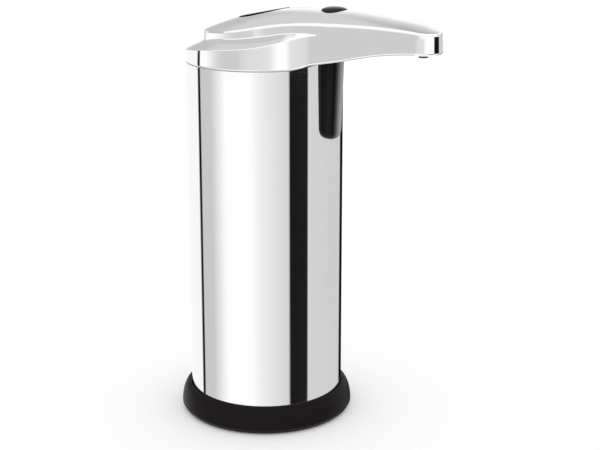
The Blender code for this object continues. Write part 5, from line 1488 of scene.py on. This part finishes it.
@dataclass(frozen=True)
class Sleeve:
    """The polished steel sleeve, slotted at the top of its front for the sensor."""

    wall: float = SLEEVE_WALL
    edge: float = 0.00015
    slot_width: float = 0.0092
    steps: int = 224

    def build(self) -> None:
        """Turn the tube, cut its slot, raise its front to the spout's underside and dress it."""
        low, high = SLEEVE_LOW.z, SEAM - GAP / 10
        bore = BODY_RADIUS - self.wall
        rim = self.edge / 3
        profile = rounded([(bore, low, 0.0), (BODY_RADIUS, low, self.edge), (BODY_RADIUS, high, rim),
                           (bore, high, rim)], 3)
        sleeve = turned("steel_sleeve_polished", profile, (AXIS_X, 0.0), self.steps)
        slot = block("sensor_slot", (AXIS_X + bore / 2, -self.slot_width / 2, SEAM - SLOT_DEPTH),
                     (AXIS_X + 2 * BODY_RADIUS, self.slot_width / 2, SEAM + SLOT_DEPTH))
        combine(sleeve, slot)
        clean(sleeve)
        for vert in sleeve.data.vertices:
            if vert.co.z > high - self.wall:
                vert.co.z += BOTTOM.at(vert.co.x - AXIS_X) - SEAM
        dress(smooth(sleeve), STEEL, "housing", "steel_sleeve")


@dataclass(frozen=True)
class SensorWindow:
    """The tongue-shaped sensor window on the sleeve: round at its corners, its lower end and its toe."""

    half_width: float = 0.0055
    reach: float = 0.0062
    lean: float = 0.0014
    corner: float = 0.0024
    bow: float = 0.0011
    toe: float = 0.0034
    wall: float = 0.0012
    hem: float = 0.0009
    rings: int = 26
    first_ring: float = 0.4
    straight_steps: int = 10
    corner_steps: int = 10
    face_shares: tuple[float, ...] = (-0.75, -0.5, -0.25, 0.0, 0.25, 0.5, 0.75)
    back_steps: int = 224

    def ring(self, height: float, low: float, high: float) -> Ring:
        """Return the window's plan at a height.

        Args:
            height: The height of the ring.
            low: The height of the window's lower end.
            high: The height of its upper end.

        Returns:
            The ring's points.
        """
        rise = height - low
        half = self.half_width
        if rise < half:
            half = sqrt(max(self.half_width**2 - (self.half_width - rise) ** 2, 0.0))
        back = 0.0
        if rise < self.toe:
            back = self.toe - sqrt(max(self.toe**2 - (self.toe - rise) ** 2, 0.0))
        front = BODY_RADIUS + self.reach - self.lean * (high - height) / (high - low) - back
        half = max(half, self.hem / 2)
        corner = min(self.corner, half)
        rear = BODY_RADIUS - self.reach / 2
        quarter = arc((front - corner, half - corner), (corner, corner), 0.0, pi / 2, self.corner_steps)
        flat = [(front, (half - corner) * share) for share in self.face_shares]
        face = [(x, -y) for x, y in reversed(quarter)] + flat + quarter
        plan = [(rear, -half)] + face + [(rear, half)]
        bowed = [(x - (self.bow * (y / self.half_width) ** 2 if x > rear else 0.0), y) for x, y in plan]
        return [Vector((AXIS_X + x, y, height)) for x, y in bowed]

    def build(self) -> None:
        """Model the window in rings, cut its back to the sleeve and hollow it."""
        low, high = (corner.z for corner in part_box("sensor_window"))
        turns = [pi / 2 * (i + self.first_ring) / self.rings for i in range(self.rings)]
        heights = [low + self.half_width * (1 - cos(turn)) for turn in turns]
        start = low + self.half_width
        heights += [start + (high - start) * i / self.straight_steps for i in range(self.straight_steps + 1)]
        window = skinned("sensor_window_smoked", [self.ring(height, low, high) for height in heights])
        combine(window, rod("window_back", BODY_RADIUS + GAP / 2, low - self.wall, high + self.wall,
                            (AXIS_X, 0.0), self.back_steps))
        half = self.half_width - self.wall - self.hem
        face = AXIS_X + BODY_RADIUS + self.reach - self.lean
        combine(window, block("window_pocket", (AXIS_X + BODY_RADIUS - self.reach, -half, SEAM - SLOT_DEPTH),
                              (face - self.wall, half, high - self.wall)))
        finish = SmokedWindow("smoked_window_painted_sheen", "black_window", face)
        dress(smooth(clean(window), radians(50)), finish, "housing", "sensor_window")


@dataclass(frozen=True)
class Foot:
    """The flared black foot, with its anti-slip ring and the quarter-turn battery door under it."""

    groove: float = BODY_RADIUS + GAP
    lip: float = 0.0004
    bulge_height: float = 0.0026
    height: float = 0.0126
    tuck: float = 0.0012
    clear: float = 0.0005
    floor: float = 0.0031
    ledge: float = 0.002
    collar_wall: float = 0.002
    collar_corner: float = 0.0004
    hem: float = 0.0008
    seat: float = 0.004
    ring_radius: float = 0.0365
    ring_width: float = 0.0044
    ring_thickness: float = 0.0017
    groove_count: int = 3
    door_radius: float = 0.025
    door_recess: float = 0.0008
    door_thickness: float = 0.002
    boss_radius: float = 0.0215
    tab_reach: float = 0.0023
    tab_width: float = 0.009
    tab_thickness: float = 0.0015
    door_turn: float = radians(45)
    run_gap: float = 0.0008
    slot: tuple[float, float, float] = (0.022, 0.0026, 0.0012)
    bow_steps: int = 20
    steps: int = 192
    edge: float = 0.00025
    soft_edge: float = 0.00015

    def foot(self) -> Piece:
        """Turn the flared foot and cut the door's bayonet notches.

        Returns:
            The foot.
        """
        low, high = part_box("base_foot")
        outer = (high.x - low.x) / 2
        lip = self.groove + self.lip
        bow = arc((lip, self.bulge_height), (outer - lip, self.height - self.bulge_height), pi / 2, 0.0,
                  self.bow_steps)
        collar = BODY_RADIUS - SLEEVE_WALL - GAP
        ring_out = self.ring_radius + self.ring_width / 2 + GAP
        ring_in = self.ring_radius - self.ring_width / 2 - GAP
        ring_top = self.ring_thickness + GAP
        door = self.door_radius + GAP
        boss = self.boss_radius + self.run_gap
        ledge_top = self.floor + self.ledge
        under = [(outer - self.tuck, self.clear, self.hem), (ring_out, self.clear, self.edge),
                 (ring_out, ring_top, 0.0), (ring_in, ring_top, 0.0), (ring_in, self.clear, self.edge),
                 (door, self.clear, self.edge), (door, self.floor, 0.0), (boss, self.floor, self.edge),
                 (boss, ledge_top, self.edge), (collar - self.collar_wall, ledge_top, self.collar_corner),
                 (collar - self.collar_wall, high.z, self.edge), (collar, high.z, self.edge),
                 (collar, self.seat, 0.0), (self.groove, self.seat, 0.0)]
        profile = bow + rounded([bow[-1] + (0.0,)] + under)[1:] + [(self.groove, self.height)]
        piece = turned("base_foot_flared", profile, (AXIS_X, 0.0), self.steps)
        reach = self.boss_radius + self.tab_reach + self.run_gap
        half = self.tab_width / 2 + self.run_gap
        notch = block("notch", (-reach, -half, self.floor - self.edge), (reach, half, ledge_top + self.seat))
        turn = Matrix.Translation((AXIS_X, 0.0, 0.0)) @ Matrix.Rotation(self.door_turn, 4, "Z")
        return clean(combine(piece, moved(notch, turn)))

    def ring(self) -> Piece:
        """Turn the anti-slip ring, with fine grooves in the face that it stands on.

        Returns:
            The ring.
        """
        inner = self.ring_radius - self.ring_width / 2
        pitch = self.ring_width / (2 * self.groove_count + 1)
        corners = [(inner, self.ring_thickness, self.edge), (inner, 0.0, self.edge)]
        for i in range(self.groove_count):
            start = inner + pitch * (2 * i + 1)
            corners += [(start, 0.0, 0.0), (start + pitch * 0.25, pitch / 2, 0.0),
                        (start + pitch * 0.75, pitch / 2, 0.0), (start + pitch, 0.0, 0.0)]
        outer = inner + self.ring_width
        corners += [(outer, 0.0, self.edge), (outer, self.ring_thickness, self.edge)]
        return turned("anti_slip_ring_grooved", rounded(corners, 3), (AXIS_X, 0.0), self.steps)

    def door(self) -> Piece:
        """Turn the battery door, join its tabs and cut its coin slot.

        Returns:
            The door.
        """
        top = self.door_recess + self.door_thickness
        tab_low = self.floor + self.ledge + GAP
        boss_top = tab_low + self.tab_thickness
        profile = rounded([(0.0, self.door_recess, 0.0), (self.door_radius, self.door_recess, self.edge),
                           (self.door_radius, top, self.edge), (self.boss_radius, top, 0.0),
                           (self.boss_radius, boss_top, self.edge), (0.0, boss_top, 0.0)])
        door = turned("battery_door_slotted", profile, (AXIS_X, 0.0), self.steps)
        reach = self.boss_radius + self.tab_reach
        tabs = block("tabs", (AXIS_X - reach, -self.tab_width / 2, tab_low),
                     (AXIS_X + reach, self.tab_width / 2, boss_top))
        combine(door, tabs, "UNION")
        length, width, depth = self.slot
        base = block("slot", (AXIS_X - length / 2, -width / 2, self.door_recess - self.floor),
                     (AXIS_X + length / 2, width / 2, self.door_recess + depth))
        combine(door, base)
        return soften(clean(door), self.soft_edge, 2, radians(50))

    def build(self) -> None:
        """Model the foot, its ring and its door, and dress them."""
        dress(smooth(self.foot()), FOOT_BLACK, "housing", "base_foot")
        dress(smooth(self.ring()), RING_RUBBER, "housing", "anti_slip_ring")
        dress(smooth(self.door()), FOOT_BLACK, "battery_door", "battery_door")


@dataclass(frozen=True)
class Nozzle:
    """The soap nozzle under the spout's tip and the slit valve in its mouth, whose black flange stands below
    the mouth as painted shade of its rim.
    """

    radius: float = 0.0021
    body_radius: float = 0.003
    cap: float = 0.0007
    bore: float = 0.0013
    valve_lip: float = 0.0004
    # painted shade: the black flange below the mouth stands for the shade of the mouth's rim
    painted_shade_flange: float = 0.0006
    lift: float = 0.0009
    edge: float = 0.0001
    body_edge: float = 0.0003
    top_edge: float = 0.0004
    steps: int = 64
    inlet_steps: int = 32
    valve_steps: int = 48

    def build(self) -> None:
        """Turn the nozzle and its valve and dress them."""
        low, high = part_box("nozzle")
        valve_low, valve_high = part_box("nozzle_valve")
        axis = ((low.x + high.x) / 2, 0.0)
        shoulder = self.shoulder(axis[0])
        mouth = valve_low.z + self.lift
        end = mouth + self.painted_shade_flange
        profile = rounded([(self.bore, end, 0.0), (self.radius, end, self.edge),
                           (self.radius, shoulder, 0.0), (self.body_radius, shoulder, self.body_edge),
                           (self.body_radius, high.z, self.top_edge), (0.0, high.z, 0.0),
                           (0.0, high.z - self.cap, 0.0), (self.bore, high.z - self.cap, 0.0)])
        nozzle = turned("nozzle_turned", profile, axis, self.steps)
        inlet = rod("inlet", self.bore, 0.0, 2 * self.body_radius, steps=self.inlet_steps)
        moved(inlet, Matrix.Translation((*axis, self.tube_height())) @ Matrix.Rotation(-pi / 2, 4, "Y"))
        combine(nozzle, inlet)
        dress(smooth(clean(nozzle)), NOZZLE_WHITE, "housing", "nozzle")
        outer, seat = self.bore - GAP / 3, end - GAP / 10
        # the valve's black lips are real; its flange below the mouth is painted shade
        valve = rounded([(self.valve_lip, mouth, self.edge), (self.radius, mouth, 2 * self.edge),
                         (self.radius, seat, self.edge), (outer, seat, 0.0),
                         (outer, valve_high.z, 2 * self.edge), (outer / 2, valve_high.z, 2 * self.edge)])
        lips_and_painted_shade = turned("nozzle_valve_lips_painted_shade", valve, axis, self.valve_steps)
        dress(smooth(lips_and_painted_shade), RING_RUBBER, "housing", "nozzle_valve")

    def shoulder(self, station: float) -> float:
        """Return the height of the shoulder in the frame's own nozzle.

        Args:
            station: The place of the nozzle's axis along X.

        Returns:
            The height in metres.
        """
        between = (self.radius + self.body_radius) / 2
        verts = frame["nodes"]["nozzle"].data.vertices
        return min(vert.co.z for vert in verts if hypot(vert.co.x - station, vert.co.y) > between)

    @staticmethod
    def tube_height() -> float:
        """Return the height of the outlet tube's axis where it enters the nozzle.

        Returns:
            The height in metres.
        """
        verts = frame["nodes"]["outlet_tube"].data.vertices
        end = max(vert.co.x for vert in verts)
        heights = [vert.co.z for vert in verts if vert.co.x > end - WELD]
        return (min(heights) + max(heights)) / 2


@dataclass(frozen=True)
class InnerWorks:
    """The pieces inside, which keep the frame's own shapes and take real finishes, but for the head's
    chassis, painted black as shade under the head.
    """

    finishes: Mapping[str, Finish] = field(default_factory=lambda: {
        "bright_metal": BRIGHT, "grey_plastic": GREY_PLASTIC, "white_plastic": WHITE_PLASTIC,
        "clear_plastic": CLEAR_PLASTIC, "gear_plastic": GEAR_PLASTIC, "seal_rubber": SEAL_RUBBER,
        "tube_silicone": TUBE_SILICONE, "board_green": BOARD_MASK, "wire_red": WIRE_PLASTIC,
        "black_rubber": RING_RUBBER, "black_gloss": BUTTON_BLACK, "black_window": BUTTON_BLACK,
        "chrome": CHROME, "steel": STEEL})

    def build(self) -> None:
        """Dress every node of the frame by its material slot in the record."""
        for row in frame["record"]["subparts"]:
            name, slot = row["node"], row["material_slot"]
            finish = self.finishes.get(slot)
            # painted shade: the head's chassis is made near black for the shade between the sleeve and the
            # head
            if name == "head_chassis":
                finish = CHASSIS_PAINTED_SHADE
            if slot == "cell_jacket":
                low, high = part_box(name)
                finish = CellJacket(f"cell_jacket_{name}", slot, low.z, high.z)
            node = frame["nodes"][name]
            node.data.materials.clear()
            node.data.materials.append(finish.material())
            LOG.info("%s keeps its shape, in %s", name, finish.name)


class Ray(Enum):
    """What the world asks of a ray: how often it has bounced, and its kind."""

    DEPTH = "Ray Depth"
    CAMERA = "Is Camera Ray"
    GLOSSY = "Is Glossy Ray"


@dataclass(frozen=True)
class Studio:
    """A white studio: a pale floor, a camera, and softboxes and dark flags that polished metal mirrors.

    Bearings are in degrees, counted from the camera round to the picture's right, as a level face
    mirrors them, and heights in degrees above level. Levels are shares of white as they show in the
    metal. The rooms lie one above another, and each line is the two places between which one of them
    fades into the next.
    """

    azimuth: float = radians(35.73)
    elevation: float = radians(13.51)
    distance: float = 0.620
    lens: float = 77.82
    lens_shift: float = -0.08
    target: Vector = field(default_factory=lambda: Vector((AXIS_X + 0.0208, 0.0, 0.11975)))
    metal: float = 0.93
    room: float = 0.97
    floor_size: float = 24.0
    floor_colour: Colour = (0.97, 0.97, 0.97)
    low_room: tuple[Point, ...] = (
        (-180, 0.97), (-113, 0.97), (-112, 0.06), (-106.5, 0.06), (-105.5, 0.78), (-84, 0.79), (-58, 1.0),
        (-20, 1.0), (-5, 0.93), (36, 0.83), (37.5, 0.10), (66, 0.12), (67.5, 0.83), (147, 0.80), (150, 0.06),
        (176, 0.06))
    band_room: tuple[Point, ...] = (
        (-180, 0.97), (-113, 0.97), (-112, 0.06), (-106.5, 0.06), (-105.5, 1.0), (-92, 1.0), (-76, 0.87),
        (-62, 0.80), (-40, 0.80), (-24, 0.86), (6, 0.88), (20, 1.0), (64, 1.0), (70, 0.08), (101, 0.08),
        (105, 0.80), (180, 0.80))
    wall_room: tuple[Point, ...] = (
        (-180, 0.80), (-160, 0.80), (-138, 1.0), (-108, 1.0), (-66, 0.84), (-50, 0.80), (-24, 0.82),
        (-4, 1.0), (64, 1.0), (70, 0.08), (101, 0.08), (105, 0.80), (180, 0.80))
    top_room: tuple[Point, ...] = (
        (0, 1.0), (10, 1.0), (20, 0.94), (32, 0.85), (43, 0.78), (55, 0.70), (70, 0.66), (90, 0.66))
    left_top: tuple[Point, ...] = (
        (0, 0.75), (22, 0.75), (38, 0.82), (62, 0.82), (75, 1.0), (90, 1.0))
    floor_line: Point = (-40.0, -34.0)
    low_line: Point = (-8.1, -7.6)
    band_line: Point = (-8.0, -7.3)
    band_swing: float = 5.4
    top_line: Point = (1.5, 4.0)
    side_line: Point = (0.04, 0.14)
    near_line: Point = (0.02, 0.12)
    later_bounces: Point = (2.4, 2.6)
    indoors: float = 0.80
    floor_mottle: float = 0.995
    floor_lift: float = 0.12

    @property
    def sight(self) -> Vector:
        """The way from the object to the camera."""
        return Vector((sin(self.azimuth) * cos(self.elevation), -cos(self.azimuth) * cos(self.elevation),
                       sin(self.elevation)))

    def light(self, level: float) -> Colour:
        """Return the light that metal shows as this level."""
        grey = linear(level) / self.metal
        return grey, grey, grey

    def ring_of(self, sheet: NodeSheet, bearing: Signal, room: Sequence[Point]) -> Signal:
        """Return the light round the room at a bearing."""
        stops = [((turn + 180) / 360, self.light(level)) for turn, level in room]
        return sheet.ramp((bearing + 180) / 360, stops)

    def mirrored_room(self, sheet: NodeSheet) -> Signal:
        """Return the light that polished metal sees in each direction.

        Args:
            sheet: The world's node tree.

        Returns:
            The light, as the world's colour.
        """
        x, y, z = sheet.axes(sheet.node("ShaderNodeTexCoord").outputs["Generated"])
        ahead, side = self.sight.x / cos(self.elevation), self.sight.y / cos(self.elevation)
        near = x * ahead + y * side
        right = y * ahead - x * side
        bearing = right.maths("ARCTAN2", right, near) * (180 / pi)
        height = z.maths("ARCSINE", z) * (180 / pi)
        low = self.ring_of(sheet, bearing, self.low_room)
        band = self.ring_of(sheet, bearing, self.band_room)
        upper = self.ring_of(sheet, bearing, self.wall_room)
        facing = bearing.maths("COSINE", bearing * (pi / 360))
        over_band = sheet.spread(height - facing * self.band_swing, *self.band_line)
        head = sheet.blend(over_band, band, upper)
        right_top, left_top = (
            sheet.ramp(height / 90, [(rise / 90, self.light(level)) for rise, level in room])
            for room in (self.top_room, self.left_top))
        far_top = sheet.blend(sheet.spread(right * -1.0, *self.side_line), right_top, left_top)
        top = sheet.blend(sheet.spread(near, *self.near_line), far_top, self.light(1.0))
        wall = sheet.blend(sheet.spread(height, *self.low_line), low, head)
        lower = sheet.blend(sheet.spread(height, *self.floor_line), self.light(1.0), wall)
        return sheet.blend(sheet.spread(height, *self.top_line), lower, top)

    def light_world(self) -> None:
        """Make the world: white to the camera, plain to matt things, the studio to polished ones."""
        world = bpy.data.worlds.new("white_studio")
        world.use_nodes = True
        bpy.context.scene.world = world
        sheet = NodeSheet(world.node_tree)
        again = sheet.spread(sheet.ray(Ray.DEPTH), *self.later_bounces)
        mirrored = sheet.blend(again, self.mirrored_room(sheet), self.light(self.indoors))
        seen = sheet.blend(sheet.ray(Ray.GLOSSY), (self.room,) * 3, mirrored)
        colour = sheet.blend(sheet.ray(Ray.CAMERA), seen, (1.0, 1.0, 1.0))
        light = sheet.node("ShaderNodeBackground", None, {"Color": colour, "Strength": 1.0})
        sheet.node("ShaderNodeOutputWorld", None, {"Surface": light.outputs[0]})

    def lay_floor(self) -> None:
        """Lay the pale floor, which polished metal doesn't mirror."""
        deselect()
        bpy.ops.mesh.primitive_plane_add(size=self.floor_size)
        floor = named(bpy.context.object, "studio_floor")
        made = bpy.data.materials.new("studio_floor")
        made.use_nodes = True
        sheet = NodeSheet(made.node_tree)
        mottled = tuple(part * self.floor_mottle for part in self.floor_colour)
        colour = sheet.blend(sheet.noise(3.0), self.floor_colour, mottled)
        matt = sheet.node("ShaderNodeBsdfDiffuse", None, {"Color": colour})
        glow = {"Color": (1.0, 1.0, 1.0), "Strength": sheet.ray(Ray.CAMERA) * self.floor_lift}
        lift = sheet.node("ShaderNodeEmission", None, glow)
        both = sheet.node("ShaderNodeAddShader", None, {0: matt.outputs[0], 1: lift.outputs[0]})
        sheet.node("ShaderNodeOutputMaterial", None, {"Surface": both.outputs[0]})
        floor.data.materials.append(made)
        floor.visible_glossy = False

    def aim_camera(self) -> None:
        """Set the camera at the photograph's viewing angle."""
        deselect()
        bpy.ops.object.camera_add()
        camera = bpy.context.object
        camera.name = "studio_camera"
        camera.data.lens = self.lens
        camera.data.shift_y = self.lens_shift
        camera.location = self.target + self.sight * self.distance
        camera.rotation_euler = (-self.sight).to_track_quat("-Z", "Y").to_euler()
        bpy.context.scene.camera = camera

    def build(self) -> None:
        """Make the world, the floor and the camera."""
        bpy.context.scene.view_settings.view_transform = "Standard"
        self.light_world()
        self.lay_floor()
        self.aim_camera()


def main() -> None:
    """Build the pieces in order, then the studio."""
    logging.basicConfig(level=logging.INFO, format="%(message)s")
    cap = FillCap()
    button = PowerButton()
    InnerWorks().build()
    Foot().build()
    Sleeve().build()
    SensorWindow().build()
    Head().build(cap, button)
    cap.build()
    button.build()
    Nozzle().build()
    Studio().build()


if __name__ == "__main__":
    main()
